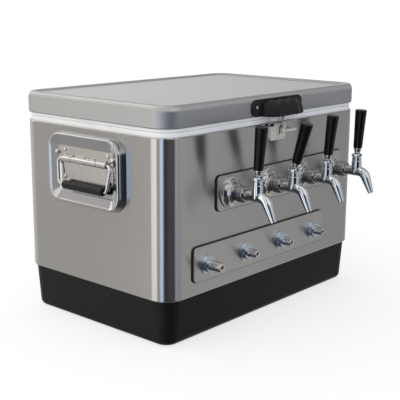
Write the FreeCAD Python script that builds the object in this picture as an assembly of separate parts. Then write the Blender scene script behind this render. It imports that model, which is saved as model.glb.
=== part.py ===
import FreeCAD, Part
import math
import os

# A four-tap jockey box: a steel-clad insulated cooler with a cold plate on its floor.
# Beer enters at the four inlets low on the front, runs through the cold plate and leaves by the four taps.
#
# Millimetres. The origin is at the middle of the underside. +X runs along the length, +Y to the back, +Z up.
# Pieces on a wall are drawn in that wall's own frame: x to the viewer's right, y up from the ground and
# z straight out of the wall, with z = 0 on the face of the steel.

Vector = FreeCAD.Vector

# ---------------------------------------------------------------- driving dimensions

# body
body_length = 600.0
body_depth = 391.0
body_corner = 38.0
sheet = 0.8
skirt_height = 87.0
steel_height = 293.0
rim_height = 8.6
insulated_wall = 38.0
curl_radius = 2.5

# moulded base
skirt_top_inset = 5.0
skirt_bottom_inset = 11.0
skirt_wall = 4.0
skirt_floor = 4.0
skirt_edge_radius = 12.0

# inner liner
liner_wall = 3.0
liner_floor_height = 50.0
cavity_corner = 28.0
rim_inset = 3.4
rim_lip = 4.0
rim_edge_radius = 1.5

# lid
lid_overhang = 1.0
lid_gap = 0.6
lid_rim_height = 5.4
lid_height = 40.4
lid_edge_radius = 8.0
lid_border = 15.0
lid_panel_recess = 2.5
lid_panel_slope = 3.0
gasket_height = 3.0
gasket_width = 14.0
gasket_inset = 15.0
lid_flange = 2.5
plug_depth = 8.6
plug_clearance = 3.0
moving_gap = 0.3

# plates on the front
plate_length = 406.0
plate_height = 66.0
plate_corner = 9.0
plate_sheet = 1.5
pad_thickness = 2.5
pad_overhang = 1.0
faucet_row_x = 31.0
faucet_row_height = 265.4
faucet_plate_rise = 1.1
inlet_row_x = -32.0
inlet_row_height = 142.0
inlet_plate_rise = 3.5
tap_count = 4
tap_pitch = 111.0

# tap shanks
shank_radius = 11.1
shank_inside = 22.0
shank_head_radius = 14.0
shank_head_start = 20.0
shank_head_end = 30.0
shank_bore = 4.0
lock_nut_flats = 30.0
lock_nut_thickness = 8.0
hole_clearance = 0.3
fit_clearance = 0.05
overcut = 1.0

# tap flanges and coupling nuts
flange_radius = 30.0
flange_rim = 3.0
flange_shoulder_radius = 21.0
flange_shoulder_rise = 2.0
flange_neck_radius = 17.0
nut_radius = 15.8
nut_start = 27.0
nut_end = 42.5
nut_lip = 5.0
nut_groove_depth = 0.8
nut_groove_width = 3.0

# faucet bodies
barrel_radius = 9.9
faucet_tail_radius = 12.5
column_reach = 66.0
column_radius = 10.4
column_foot = 4.0
bonnet_radius = 10.8
bonnet_bottom = 25.0
bonnet_top = 36.0
pivot_rise = 31.5
socket_radius = 7.9
pivot_radius = 6.2
pivot_width = 8.0
waist_radius = 5.0
slot_floor_rise = 0.9
spout_radius = 10.0
spout_bend = 17.6
spout_slope = 65.6
spout_length = 34.0
spout_corner = 18.3
spout_tip_radius = 5.6
spout_bore = 4.2
spout_bore_depth = 14.0

# levers and tap handles
waist_top = 42.0
ferrule_radius = 8.0
ferrule_bottom = 47.0
ferrule_top = 49.0
handle_length = 78.0
handle_bottom_radius = 9.0
handle_top_radius = 11.8
lever_leans = (4.0, 16.0, 6.0, 3.0)

# beer inlets
inlet_radius = 8.33
inlet_shank_radius = 8.6
inlet_reach = 40.0
inlet_inside = 13.0
inlet_bore = 2.75
washer_radius = 17.5
washer_thickness = 2.0
inlet_nut_flats = 27.0
inlet_nut_thickness = 9.0
back_nut_flats = 24.0
back_nut_thickness = 7.0

# hoses and the hubs they push up to
hose_radius = 5.55
tail_hub_radius = 7.0
tail_hub_length = 7.0
nipple_hub_height = 6.0
outlet_bend = 60.0
inlet_bend = 40.0
inlet_nipple_y = -75.0
outlet_nipple_y = -45.0

# cold plate
cold_plate_length = 440.0
cold_plate_width = 200.0
cold_plate_thickness = 32.0
cold_plate_corner = 10.0
cold_plate_y = 5.0

# carrying handles on both ends
dish_centre_drop = 17.3
dish_width = 198.0
dish_height = 138.0
dish_corner = 33.0
dish_rise = 18.0
dish_slope = 5.0
dish_ridge = 6.0
pan_rise = 6.0
pan_slope = 9.0
dish_sheet = 1.5
dish_edge_radius = 2.6
bracket_sheet = 1.5
bracket_upper_width = 157.0
bracket_lower_width = 125.0
bracket_top_rise = 26.0
bracket_step_drop = 8.0
bracket_bottom_drop = 45.0
bracket_corner = 5.0
barrel_height = 319.3
barrel_length = 120.0
barrel_wall = 1.9
barrel_sink = 0.5
bail_wire_radius = 2.75
bail_width = 140.0
bail_drop = 48.0
bail_bend = 8.0
bail_tail = 24.0
grip_radius = 8.0
grip_length = 108.0
head_slope = 0.7
rivet_radius = 3.5
rivet_rise = 1.8
rivet_spread = 58.5
upper_rivet_rise = 19.0
lower_rivet_drop = 31.0

# hinges
hinge_axis_out = 6.0
hinge_axis_rise = 14.0
hinge_spread = 170.0
hinge_length = 60.0
knuckle_count = 5
knuckle_radius = 4.0
knuckle_gap = 0.5
hinge_pin_radius = 2.0
leaf_sheet = 1.5
knuckle_web = 2.8
body_leaf_drop = 9.6
body_leaf_length = 35.9
lid_leaf_gap = 8.4
lid_leaf_height = 24.0

# lid handle
lid_handle_x = 4.0
lid_handle_width = 157.5
lid_handle_rise = 0.6
lid_handle_height = 32.8
lid_handle_corner = 14.0
lid_handle_flange = 4.0
cup_width = 119.0
cup_reach = 33.0
cup_height = 28.8
cup_wall = 3.5
cup_end_radius = 20.0
cup_brow_radius = 17.0
finger_count = 4
finger_pitch = 28.5
finger_radius = 18.0
finger_depth = 2.0
cup_screw_spread = 65.0
cup_screw_rise = 17.8
screw_radius = 3.5
screw_rise = 1.6

# latch
latch_x = 19.0
latch_drop = 17.0
latch_plate_left = -21.5
latch_plate_right = 34.0
latch_plate_below = 18.0
latch_plate_above = 14.0
latch_plate_corner = 4.0
latch_sheet = 1.5
latch_fold = 7.0
rotor_radius = 13.0
rotor_thickness = 3.0
rotor_stud_radius = 3.0
rotor_hub_radius = 5.5
rotor_hub_height = 5.0
rotor_hub_cap = 1.0
stud_end_gap = 0.5
latch_pin_radius = 1.8
latch_pin_circle = 9.0
latch_slot_clearance = 0.4
latch_travel = 80.0
blade_length = 40.0
blade_thickness = 2.5
blade_height = 11.0
strike_width = 6.0
strike_plate_rise = 16.4
strike_end_rise = 7.0
strike_sheet = 1.5
strike_gap = 0.5
strike_jog_gap = 1.5
strike_jog = 5.5
strike_jog_fold = 0.6
latch_screw_drop = 13.5
latch_screw_radius = 2.0
latch_screw_rise = 1.2
latch_screw_inset = 8.0

# drain
drain_height = 67.0
drain_seat = -10.0
drain_pocket_radius = 17.0
drain_boss_radius = 19.0
drain_boss_thickness = 4.0
drain_flange_radius = 15.0
drain_flange_thickness = 3.0
drain_tube_radius = 10.0
drain_bore = 7.0
drain_tube_end = 2.0
drain_inside = 8.0
drain_nut_radius = 13.0
drain_nut_thickness = 6.0
cap_radius = 13.5
cap_wall = 2.5
cap_bar_width = 4.0
cap_bar_height = 4.0

# ---------------------------------------------------------------- places that follow

steel_top = skirt_height + steel_height
rim_top = steel_top + rim_height
lid_rim_bottom = rim_top + lid_gap
lid_bottom = lid_rim_bottom + lid_rim_height
lid_top = lid_bottom + lid_height
lid_rim_inset = lid_overhang + rim_inset
lid_liner_top = lid_bottom + sheet + lid_flange
gasket_bottom = rim_top + moving_gap
gasket_top = gasket_bottom + gasket_height
plug_bottom = rim_top - plug_depth
wrap_hem = skirt_top_inset + skirt_wall
rim_hem = rim_inset + liner_wall
plate_face = pad_thickness + plate_sheet
faucet_plate_height = faucet_row_height + faucet_plate_rise
inlet_plate_height = inlet_row_height + inlet_plate_rise
washer_face = plate_face + washer_thickness
inlet_nut_face = washer_face + inlet_nut_thickness
liner_inside = -insulated_wall
row_start = -(tap_count - 1) * tap_pitch / 2
tap_offsets = [row_start + n * tap_pitch for n in range(tap_count)]
tap_xs = [faucet_row_x + offset for offset in tap_offsets]
inlet_xs = [inlet_row_x + offset for offset in tap_offsets]
cold_plate_top = liner_floor_height + cold_plate_thickness
dish_centre_height = barrel_height - dish_centre_drop
bracket_top = barrel_height + bracket_top_rise
bracket_step = barrel_height - bracket_step_drop
bracket_bottom = barrel_height - bracket_bottom_drop
bracket_face = pan_rise + bracket_sheet
hinge_axis_height = steel_top + hinge_axis_rise
lid_handle_bottom = lid_bottom + lid_handle_rise
lid_handle_top = lid_handle_bottom + lid_handle_height
cup_top = lid_handle_bottom + cup_height
latch_height = steel_top - latch_drop
latch_plate_bottom = latch_height - latch_plate_below
latch_plate_top = latch_height + latch_plate_above
rotor_face = latch_sheet + moving_gap + rotor_thickness
hook_back = rotor_face + strike_gap
barrel_radius_out = bail_wire_radius + fit_clearance + barrel_wall
axle_out = bracket_face + barrel_radius_out - barrel_sink
bail_tilt = math.degrees(math.asin((bracket_face + grip_radius + moving_gap - axle_out) / bail_drop))

# ---------------------------------------------------------------- forms used by many pieces


def rounded_rectangle(width, height, radius, z, centre_x=0.0, centre_y=0.0):
    """A closed outline of four lines and four quarter circles, level at z."""
    x = width / 2
    y = height / 2
    inner_x = x - radius
    inner_y = y - radius
    middle = radius * math.sqrt(0.5)

    def point(px, py):
        return Vector(centre_x + px, centre_y + py, z)

    edges = []
    for sx, sy in ((1, -1), (1, 1), (-1, 1), (-1, -1)):
        start = point(sx * inner_x, sy * y)
        end = point(sx * x, sy * inner_y)
        if sx * sy > 0:
            start, end = end, start
        bend = point(sx * (inner_x + middle), sy * (inner_y + middle))
        if edges:
            last = edges[-1].Vertexes[-1].Point
            edges.append(Part.makeLine(last, start))
        edges.append(Part.Arc(start, bend, end).toShape())
    edges.append(Part.makeLine(edges[-1].Vertexes[-1].Point, edges[0].Vertexes[0].Point))
    return Part.Wire(edges)


def slab(width, height, radius, bottom, top, centre_x=0.0, centre_y=0.0):
    outline = rounded_rectangle(width, height, radius, bottom, centre_x, centre_y)
    return Part.Face(outline).extrude(Vector(0, 0, top - bottom))


def tapered(lower, upper):
    """A straight-sided block between two outlines."""
    return Part.makeLoft([lower, upper], True, True)


def body_outline(inset, z):
    return rounded_rectangle(body_length - 2 * inset, body_depth - 2 * inset, body_corner - inset, z)


def body_slab(inset, bottom, top):
    return Part.Face(body_outline(inset, bottom)).extrude(Vector(0, 0, top - bottom))


def cavity_slab(outset, bottom, top):
    """A block with the outline of the ice cavity, grown outwards by outset."""
    shrink = insulated_wall - outset
    return slab(body_length - 2 * shrink, body_depth - 2 * shrink, cavity_corner + outset, bottom, top)


def lid_outline(inset, z):
    shrink = inset - lid_overhang
    return rounded_rectangle(body_length - 2 * shrink, body_depth - 2 * shrink, body_corner - shrink, z)


def lid_slab(inset, bottom, top):
    return Part.Face(lid_outline(inset, bottom)).extrude(Vector(0, 0, top - bottom))


def turned(profile):
    """A solid of revolution about Z from (radius, z) points."""
    points = [Vector(radius, 0, z) for radius, z in profile]
    outline = Part.makePolygon(points + [points[0]])
    return Part.Face(outline).revolve(Vector(0, 0, 0), Vector(0, 0, 1), 360)


def disc(radius, bottom, top, x=0.0, y=0.0):
    return Part.makeCylinder(radius, top - bottom, Vector(x, y, bottom))


def ring(outer, inner, bottom, top):
    return disc(outer, bottom, top).cut(disc(inner, bottom, top))


def hexagon(flats, bottom, top):
    corner = flats / math.sqrt(3)
    points = [
        Vector(corner * math.cos(math.radians(60 * n)), corner * math.sin(math.radians(60 * n)), bottom)
        for n in range(7)
    ]
    return Part.Face(Part.makePolygon(points)).extrude(Vector(0, 0, top - bottom))


def raised_head(radius, rise, face, x, y):
    """The head of a screw or rivet, with a sloping edge, on a face of a wall."""
    return Part.makeCone(radius, radius - head_slope * rise, rise, Vector(x, y, face))


def profile_along_x(points, width, centre_x=0.0):
    """An outline of (z, y) points in a wall's frame, run along the wall's x."""
    corners = [Vector(centre_x - width / 2, y, z) for z, y in points]
    return Part.Face(Part.makePolygon(corners + [corners[0]])).extrude(Vector(width, 0, 0))


def round_edges(shape, radius, wanted):
    edges = [edge for edge in shape.Edges if wanted(edge.BoundBox)]
    return shape.makeFillet(radius, edges)


def level_at(*heights):
    """Picks the edges that lie flat at any of these heights."""
    return lambda box: any(abs(box.ZMin - z) < 1e-4 and abs(box.ZMax - z) < 1e-4 for z in heights)


def upright(shape, out):
    """Stands a shape that was turned about Z on a wall frame's y, at a distance out from the wall."""
    copy = shape.copy()
    copy.rotate(Vector(0, 0, 0), Vector(1, 0, 0), -90)
    copy.translate(Vector(0, 0, out))
    return copy


def on_wall(shape, right, outward, origin):
    """Moves a shape from a wall's frame into the object's frame."""
    up = Vector(0, 0, 1)
    matrix = FreeCAD.Matrix(
        right.x, up.x, outward.x, origin.x,
        right.y, up.y, outward.y, origin.y,
        right.z, up.z, outward.z, origin.z,
    )  # fmt: skip
    moved = shape.copy()
    moved.Placement = FreeCAD.Placement(matrix).multiply(moved.Placement)
    return moved


def on_front(shape, x=0.0, height=0.0):
    return on_wall(shape, Vector(1, 0, 0), Vector(0, -1, 0), Vector(x, -body_depth / 2, height))


def on_back(shape, x=0.0):
    return on_wall(shape, Vector(-1, 0, 0), Vector(0, 1, 0), Vector(x, body_depth / 2, 0))


def on_left(shape):
    return on_wall(shape, Vector(0, -1, 0), Vector(-1, 0, 0), Vector(-body_length / 2, 0, 0))


def on_right(shape, height=0.0):
    return on_wall(shape, Vector(0, 1, 0), Vector(1, 0, 0), Vector(body_length / 2, 0, height))


def bent_rod(radius, corners, bend):
    """A round rod through corner points, with the same bend at every corner between the ends."""
    pieces = []
    run_start = corners[0]
    for before, corner, after in zip(corners, corners[1:], corners[2:]):
        incoming = (corner - before).normalize()
        outgoing = (after - corner).normalize()
        turn = incoming.getAngle(outgoing)
        setback = bend * math.tan(turn / 2)
        start = corner - incoming * setback
        axis = incoming.cross(outgoing).normalize()
        centre = start + axis.cross(incoming) * bend
        section = Part.Face(Part.Wire(Part.makeCircle(radius, start, incoming)))
        pieces.append(Part.makeCylinder(radius, start.distanceToPoint(run_start), run_start, incoming))
        pieces.append(section.revolve(centre, axis, math.degrees(turn)))
        run_start = corner + outgoing * setback
    last = corners[-1]
    pieces.append(Part.makeCylinder(radius, last.distanceToPoint(run_start), run_start, last - run_start))
    return pieces[0].fuse(pieces[1:]).removeSplitter()


def group(shapes):
    return Part.makeCompound(shapes)


def cut_all(shape, tools):
    return shape.cut(tools) if tools else shape


# ---------------------------------------------------------------- holes through the front wall


def front_holes(radius_gap, start, end):
    """Round holes for every shank and inlet, from start to end along the wall's z."""
    holes = []
    for x in tap_xs:
        holes.append(on_front(disc(shank_radius + radius_gap, start, end), x, faucet_row_height))
    for x in inlet_xs:
        holes.append(on_front(disc(inlet_shank_radius + radius_gap, start, end), x, inlet_row_height))
    return holes


def drain_hole(start, end):
    return on_right(disc(drain_tube_radius + fit_clearance, start, end), drain_height)


# ---------------------------------------------------------------- body


def skirt_cavity():
    return tapered(
        body_outline(skirt_bottom_inset + skirt_wall, skirt_floor),
        body_outline(skirt_top_inset + skirt_wall, skirt_height),
    )


def drain_boss(outer_face):
    """The thick pad behind the drain's seat, reaching out to outer_face."""
    return on_right(disc(drain_boss_radius, drain_seat - drain_boss_thickness, outer_face), drain_height)


def make_base_skirt():
    outer = tapered(body_outline(skirt_bottom_inset, 0), body_outline(skirt_top_inset, skirt_height))
    outer = round_edges(outer, skirt_edge_radius, level_at(0))
    shell = outer.cut(skirt_cavity())
    shell = shell.fuse(drain_boss(drain_seat + skirt_wall / 2)).removeSplitter()
    pocket = on_right(disc(drain_pocket_radius, drain_seat, 0), drain_height)
    return cut_all(shell, [pocket, drain_hole(drain_seat - 2 * drain_boss_thickness, 0)])


def wrap_block(inset, curl):
    """The body's steel-clad part, grown inwards by inset, with both long edges rounded by curl."""
    bottom = skirt_height + inset
    top = steel_top - inset
    return round_edges(body_slab(inset, bottom, top), curl, level_at(bottom, top))


def wrap_inside():
    """The space inside the wrap, with its way down to the base and up to the rim."""
    below = body_slab(wrap_hem, skirt_height, skirt_height + sheet)
    above = body_slab(rim_hem, steel_top - sheet, steel_top)
    return wrap_block(sheet, curl_radius - sheet).fuse([below, above])


def make_body_wrap():
    """A sheet whose top and bottom edges curl inwards, under the liner's rim and over the base."""
    outer = wrap_block(0, curl_radius)
    return cut_all(outer, [wrap_inside()] + front_holes(hole_clearance, -2 * sheet, sheet))


def liner_tub():
    return cavity_slab(liner_wall, liner_floor_height - liner_wall, rim_top - rim_lip)


def rim_channel():
    """The space under the liner's rim that foam fills."""
    return body_slab(rim_hem, steel_top, rim_top - rim_lip)


def make_inner_liner():
    rim = body_slab(rim_inset, steel_top, rim_top)
    rim = round_edges(rim, rim_edge_radius, level_at(rim_top))
    rim = rim.cut(rim_channel())
    liner = rim.fuse(liner_tub()).removeSplitter()
    cavity = cavity_slab(0, liner_floor_height, rim_top)
    holes = front_holes(hole_clearance, 2 * liner_inside, 0)
    return cut_all(liner, [cavity, drain_hole(2 * liner_inside, 0)] + holes)


def make_body_foam():
    filling = skirt_cavity().fuse([wrap_inside(), rim_channel()])
    holes = front_holes(hole_clearance, 2 * liner_inside, 0)
    return cut_all(filling, [liner_tub(), drain_boss(0), drain_hole(2 * liner_inside, 0)] + holes)


# ---------------------------------------------------------------- plates and rubber pads on the front


def make_front_plate(row_x, height, hole_xs, hole_height, hole_radius, overhang, bottom, top):
    plate = slab(
        plate_length + 2 * overhang,
        plate_height + 2 * overhang,
        plate_corner + overhang,
        bottom,
        top,
        row_x,
        height,
    )
    holes = [disc(hole_radius + hole_clearance, bottom, top, x, hole_height) for x in hole_xs]
    return on_front(plate.cut(holes))


def make_faucet_plate(overhang, bottom, top):
    return make_front_plate(
        faucet_row_x, faucet_plate_height, tap_xs, faucet_row_height, shank_radius, overhang, bottom, top
    )


def make_inlet_plate(overhang, bottom, top):
    return make_front_plate(
        inlet_row_x, inlet_plate_height, inlet_xs, inlet_row_height, inlet_shank_radius, overhang, bottom, top
    )


# ---------------------------------------------------------------- taps, drawn about the shank's axis


def make_shank():
    inside_end = liner_inside - shank_inside
    hub_end = inside_end - tail_hub_length
    return turned(
        [
            (shank_bore, hub_end),
            (tail_hub_radius, hub_end),
            (tail_hub_radius, inside_end),
            (shank_radius, inside_end),
            (shank_radius, shank_head_start),
            (shank_head_radius, shank_head_start),
            (shank_head_radius, shank_head_end),
            (shank_bore, shank_head_end),
        ]
    )


def make_flange():
    shoulder = plate_face + flange_rim
    return turned(
        [
            (shank_radius + fit_clearance, plate_face),
            (flange_radius, plate_face),
            (flange_radius, shoulder),
            (flange_shoulder_radius, shoulder + flange_shoulder_rise),
            (flange_neck_radius, shank_head_start),
            (shank_radius + fit_clearance, shank_head_start),
        ]
    )


def make_coupling_nut():
    """The round nut that draws the faucet's tail against the shank's head."""
    inner = shank_head_radius + fit_clearance
    groove = nut_radius - nut_groove_depth
    middle = (nut_start + nut_end - nut_lip) / 2
    half = nut_groove_width / 2
    lip_bore = barrel_radius + hole_clearance
    return turned(
        [
            (inner, nut_start),
            (nut_radius, nut_start),
            (nut_radius, middle - half),
            (groove, middle),
            (nut_radius, middle + half),
            (nut_radius, nut_end - nut_lip),
            (nut_radius - 2 * nut_groove_depth, nut_end),
            (lip_bore, nut_end),
            (lip_bore, nut_end - nut_lip),
            (inner, nut_end - nut_lip),
        ]
    )


def make_spout():
    """A round elbow off the end of the barrel, then a taper down to the mouth."""
    slope = math.radians(spout_slope)
    down = Vector(0, -math.sin(slope), math.cos(slope))
    bend_start = Vector(0, 0, column_reach + spout_corner - spout_bend * math.tan(slope / 2))
    centre = bend_start + Vector(0, -spout_bend, 0)
    section = Part.Face(Part.Wire(Part.makeCircle(spout_radius, bend_start, Vector(0, 0, 1))))
    elbow = section.revolve(centre, Vector(1, 0, 0), spout_slope)
    neck = disc(spout_radius, column_reach, bend_start.z)
    bend_end = centre + Vector(0, math.cos(slope), math.sin(slope)) * spout_bend
    taper = Part.makeCone(spout_radius, spout_tip_radius, spout_length, bend_end, down)
    mouth = Part.makeCylinder(spout_bore, spout_bore_depth, bend_end + down * spout_length, down * -1)
    return neck.fuse([elbow, taper]), mouth


def make_faucet():
    tail = disc(faucet_tail_radius, shank_head_end, nut_end - nut_lip)
    barrel = disc(barrel_radius, nut_end - nut_lip, column_reach)
    column = upright(disc(column_radius, -column_foot, bonnet_bottom), column_reach)
    bonnet = upright(disc(bonnet_radius, bonnet_bottom, bonnet_top), column_reach)
    spout, mouth = make_spout()
    body = barrel.fuse([tail, column, bonnet, spout]).removeSplitter()
    socket_floor = pivot_rise - pivot_radius - moving_gap
    socket = upright(disc(socket_radius, socket_floor, bonnet_top), column_reach)
    slot_half = waist_radius + moving_gap
    slot = Part.makeBox(
        2 * slot_half,
        bonnet_top - pivot_rise - slot_floor_rise,
        2 * bonnet_radius,
        Vector(-slot_half, pivot_rise + slot_floor_rise, column_reach),
    )
    return cut_all(body, [mouth, socket, slot])


def lean(shape, degrees):
    """Tips a lever about its pivot, away from the cooler."""
    shape.rotate(Vector(0, pivot_rise, column_reach), Vector(1, 0, 0), degrees)
    return shape


def make_lever(degrees):
    """A round pivot that turns in the bonnet, a waisted stem and the ferrule that carries the handle."""
    stem = turned(
        [
            (0, pivot_rise),
            (waist_radius, pivot_rise),
            (waist_radius, waist_top),
            (ferrule_radius, ferrule_bottom),
            (ferrule_radius, ferrule_top),
            (0, ferrule_top),
        ]
    )
    start = Vector(-pivot_width / 2, pivot_rise, column_reach)
    pivot = Part.makeCylinder(pivot_radius, pivot_width, start, Vector(1, 0, 0))
    return lean(upright(stem, column_reach).fuse(pivot).removeSplitter(), degrees)


def make_tap_handle(degrees):
    handle = Part.makeCone(handle_bottom_radius, handle_top_radius, handle_length, Vector(0, 0, ferrule_top))
    return lean(upright(handle, column_reach), degrees)


def make_lock_nut():
    back = liner_inside - lock_nut_thickness
    nut = hexagon(lock_nut_flats, back, liner_inside)
    return nut.cut(disc(shank_radius + fit_clearance, back, liner_inside))


# ---------------------------------------------------------------- inlets, drawn about the fitting's axis


def make_inlet_fitting():
    """A thicker shank through the wall and the nuts, and the stub that a beer line screws on to."""
    return turned(
        [
            (inlet_bore, liner_inside - inlet_inside),
            (inlet_shank_radius, liner_inside - inlet_inside),
            (inlet_shank_radius, inlet_nut_face),
            (inlet_radius, inlet_nut_face),
            (inlet_radius, inlet_reach),
            (inlet_bore, inlet_reach),
        ]
    )


def make_inlet_washer():
    return ring(washer_radius, inlet_shank_radius + fit_clearance, plate_face, washer_face)


def make_inlet_nut(flats, bottom, top):
    return hexagon(flats, bottom, top).cut(disc(inlet_shank_radius + fit_clearance, bottom, top))


# ---------------------------------------------------------------- cold plate and hoses


def nipple(x, y):
    return disc(tail_hub_radius, cold_plate_top, cold_plate_top + nipple_hub_height, x, y)


def make_cold_plate():
    plate = slab(
        cold_plate_length,
        cold_plate_width,
        cold_plate_corner,
        liner_floor_height,
        cold_plate_top,
        0.0,
        cold_plate_y,
    )
    nipples = [nipple(x, inlet_nipple_y) for x in inlet_xs]
    nipples += [nipple(x, outlet_nipple_y) for x in tap_xs]
    return plate.fuse(nipples).removeSplitter()


def make_hose(x, nipple_y, bend, wall_out, height):
    """A hose that rises from a nipple and bends forward to a fitting behind the front wall."""
    low = Vector(x, nipple_y, cold_plate_top + nipple_hub_height)
    corner = Vector(x, nipple_y, height)
    end = Vector(x, -body_depth / 2 - wall_out, height)
    return bent_rod(hose_radius, [low, corner, end], bend)


def make_inlet_hoses():
    wall_out = liner_inside - inlet_inside
    return group([make_hose(x, inlet_nipple_y, inlet_bend, wall_out, inlet_row_height) for x in inlet_xs])


def make_outlet_hoses():
    wall_out = liner_inside - shank_inside - tail_hub_length
    return group([make_hose(x, outlet_nipple_y, outlet_bend, wall_out, faucet_row_height) for x in tap_xs])


# ---------------------------------------------------------------- carrying handles, in an end wall's frame


def dish_outline(shrink, z):
    return rounded_rectangle(
        dish_width - 2 * shrink,
        dish_height - 2 * shrink,
        dish_corner - shrink,
        z,
        0.0,
        dish_centre_height,
    )


def make_handle_dish():
    """A pressed frame: a rounded ridge round a shallow pan, hollow behind."""
    outside = tapered(dish_outline(0, 0), dish_outline(dish_slope, dish_rise))
    pan_edge = dish_slope + dish_ridge
    pan = tapered(dish_outline(pan_edge + pan_slope, pan_rise), dish_outline(pan_edge, dish_rise))
    dish = outside.cut(pan)
    dish = round_edges(dish, dish_edge_radius, level_at(dish_rise))
    hollow_top = dish_rise - dish_sheet
    hollow = tapered(dish_outline(dish_sheet, 0), dish_outline(dish_slope + dish_sheet, hollow_top))
    pan_back = tapered(
        dish_outline(pan_edge + pan_slope - dish_sheet, pan_rise - dish_sheet),
        dish_outline(pan_edge - dish_sheet, dish_rise),
    )
    return dish.cut(hollow.cut(pan_back))


def make_handle_bracket():
    upper = slab(
        bracket_upper_width,
        bracket_top - bracket_step,
        bracket_corner,
        pan_rise,
        bracket_face,
        0.0,
        (bracket_top + bracket_step) / 2,
    )
    lower_top = bracket_step + 2 * bracket_corner
    lower = slab(
        bracket_lower_width,
        lower_top - bracket_bottom,
        bracket_corner,
        pan_rise,
        bracket_face,
        0.0,
        (lower_top + bracket_bottom) / 2,
    )
    start = Vector(-barrel_length / 2, barrel_height, axle_out)
    along = Vector(1, 0, 0)
    barrel = Part.makeCylinder(barrel_radius_out, barrel_length, start, along)
    bore = Part.makeCylinder(bail_wire_radius + fit_clearance, barrel_length, start, along)
    return upper.fuse([lower, barrel]).removeSplitter().cut(bore)


def tilt_bail(shape):
    """Hangs a bail that was drawn flat about its axle in its place, resting just off the bracket."""
    shape.rotate(Vector(0, 0, 0), Vector(1, 0, 0), -bail_tilt)
    shape.translate(Vector(0, barrel_height, axle_out))
    return shape


def make_bail():
    """A wire loop whose two ends turn in the bracket's barrel."""
    half = bail_width / 2
    tail = half - bail_bend - bail_tail
    corners = [
        Vector(tail, 0, 0),
        Vector(half, 0, 0),
        Vector(half, -bail_drop, 0),
        Vector(-half, -bail_drop, 0),
        Vector(-half, 0, 0),
        Vector(-tail, 0, 0),
    ]
    return tilt_bail(bent_rod(bail_wire_radius, corners, bail_bend))


def make_grip():
    start = Vector(-grip_length / 2, -bail_drop, 0)
    along = Vector(1, 0, 0)
    tube = Part.makeCylinder(grip_radius, grip_length, start, along)
    return tilt_bail(tube.cut(Part.makeCylinder(bail_wire_radius + fit_clearance, grip_length, start, along)))


def make_rivets():
    heights = (barrel_height + upper_rivet_rise, barrel_height - lower_rivet_drop)
    places = [(side * rivet_spread, height) for height in heights for side in (-1, 1)]
    return group([raised_head(rivet_radius, rivet_rise, bracket_face, x, y) for x, y in places])


# ---------------------------------------------------------------- hinges, drawn in the back wall's frame


def hinge_knuckles(own, bore, gusset):
    """The knuckles numbered in own, each with the web that ties it to its leaf."""
    pitch = hinge_length / knuckle_count
    knuckles = []
    for n in own:
        start = -hinge_length / 2 + n * pitch + knuckle_gap / 2
        length = pitch - knuckle_gap
        base = Vector(start, hinge_axis_height, hinge_axis_out)
        barrel = Part.makeCylinder(knuckle_radius, length, base, Vector(1, 0, 0))
        web = profile_along_x(gusset, length, start + length / 2)
        hole = Part.makeCylinder(bore, length, base, Vector(1, 0, 0))
        knuckles.append(barrel.fuse(web).cut(hole))
    return knuckles


def make_body_leaf():
    low = hinge_axis_height - body_leaf_drop
    leaf = Part.makeBox(hinge_length, body_leaf_length, leaf_sheet)
    leaf.translate(Vector(-hinge_length / 2, low + leaf_sheet - body_leaf_length, 0))
    gusset = [
        (0, low),
        (leaf_sheet, low),
        (hinge_axis_out + knuckle_web, hinge_axis_height - knuckle_web),
        (hinge_axis_out - knuckle_web, hinge_axis_height - knuckle_web),
        (0, low + leaf_sheet),
    ]
    knuckles = hinge_knuckles(range(0, knuckle_count, 2), hinge_pin_radius + fit_clearance, gusset)
    return leaf.fuse(knuckles).removeSplitter()


def make_lid_leaf():
    face = lid_overhang
    lid_leaf_bottom = lid_bottom + lid_leaf_gap
    high = lid_leaf_bottom + leaf_sheet
    leaf = Part.makeBox(hinge_length, lid_leaf_height, leaf_sheet)
    leaf.translate(Vector(-hinge_length / 2, lid_leaf_bottom, face))
    gusset = [
        (face, high),
        (face, lid_leaf_bottom),
        (hinge_axis_out - knuckle_web, hinge_axis_height + knuckle_web),
        (hinge_axis_out + knuckle_web, hinge_axis_height + knuckle_web),
        (face + leaf_sheet, high),
    ]
    knuckles = hinge_knuckles(range(1, knuckle_count, 2), hinge_pin_radius + fit_clearance, gusset)
    return leaf.fuse(knuckles).removeSplitter()


def make_hinge_pin():
    start = Vector(-hinge_length / 2, hinge_axis_height, hinge_axis_out)
    return Part.makeCylinder(hinge_pin_radius, hinge_length, start, Vector(1, 0, 0))


def on_both_hinges(shape):
    return group([on_back(shape, side * hinge_spread) for side in (-1, 1)])


# ---------------------------------------------------------------- lid


def lid_block(inset, curl, edge_radius):
    """The lid without its sunk panel: rounded above by edge_radius and curled under by curl."""
    bottom = lid_bottom + inset
    top = lid_top - inset
    block = round_edges(lid_slab(inset, bottom, top), edge_radius, level_at(top))
    return round_edges(block, curl, level_at(bottom))


def lid_inside():
    """The space inside the lid's skin, dipping beneath the sunk panel."""
    space = lid_block(sheet, curl_radius - sheet, lid_edge_radius - sheet)
    panel_floor = lid_top - lid_panel_recess - sheet
    border = lid_border - sheet
    dip = tapered(lid_outline(border + lid_panel_slope, panel_floor), lid_outline(border, lid_top))
    return space.cut(dip)


def make_lid_skin():
    skin = lid_block(0, curl_radius, lid_edge_radius)
    floor = lid_top - lid_panel_recess
    panel = tapered(lid_outline(lid_border + lid_panel_slope, floor), lid_outline(lid_border, lid_top))
    opening = lid_slab(lid_rim_inset, lid_bottom, lid_bottom + sheet)
    return cut_all(skin, [panel, opening, lid_inside()])


def plug_slab(wall, bottom, top):
    return cavity_slab(-plug_clearance - wall, bottom, top)


def gasket_ring(bottom, top):
    return body_slab(gasket_inset, bottom, top).cut(body_slab(gasket_inset + gasket_width, bottom, top))


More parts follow.
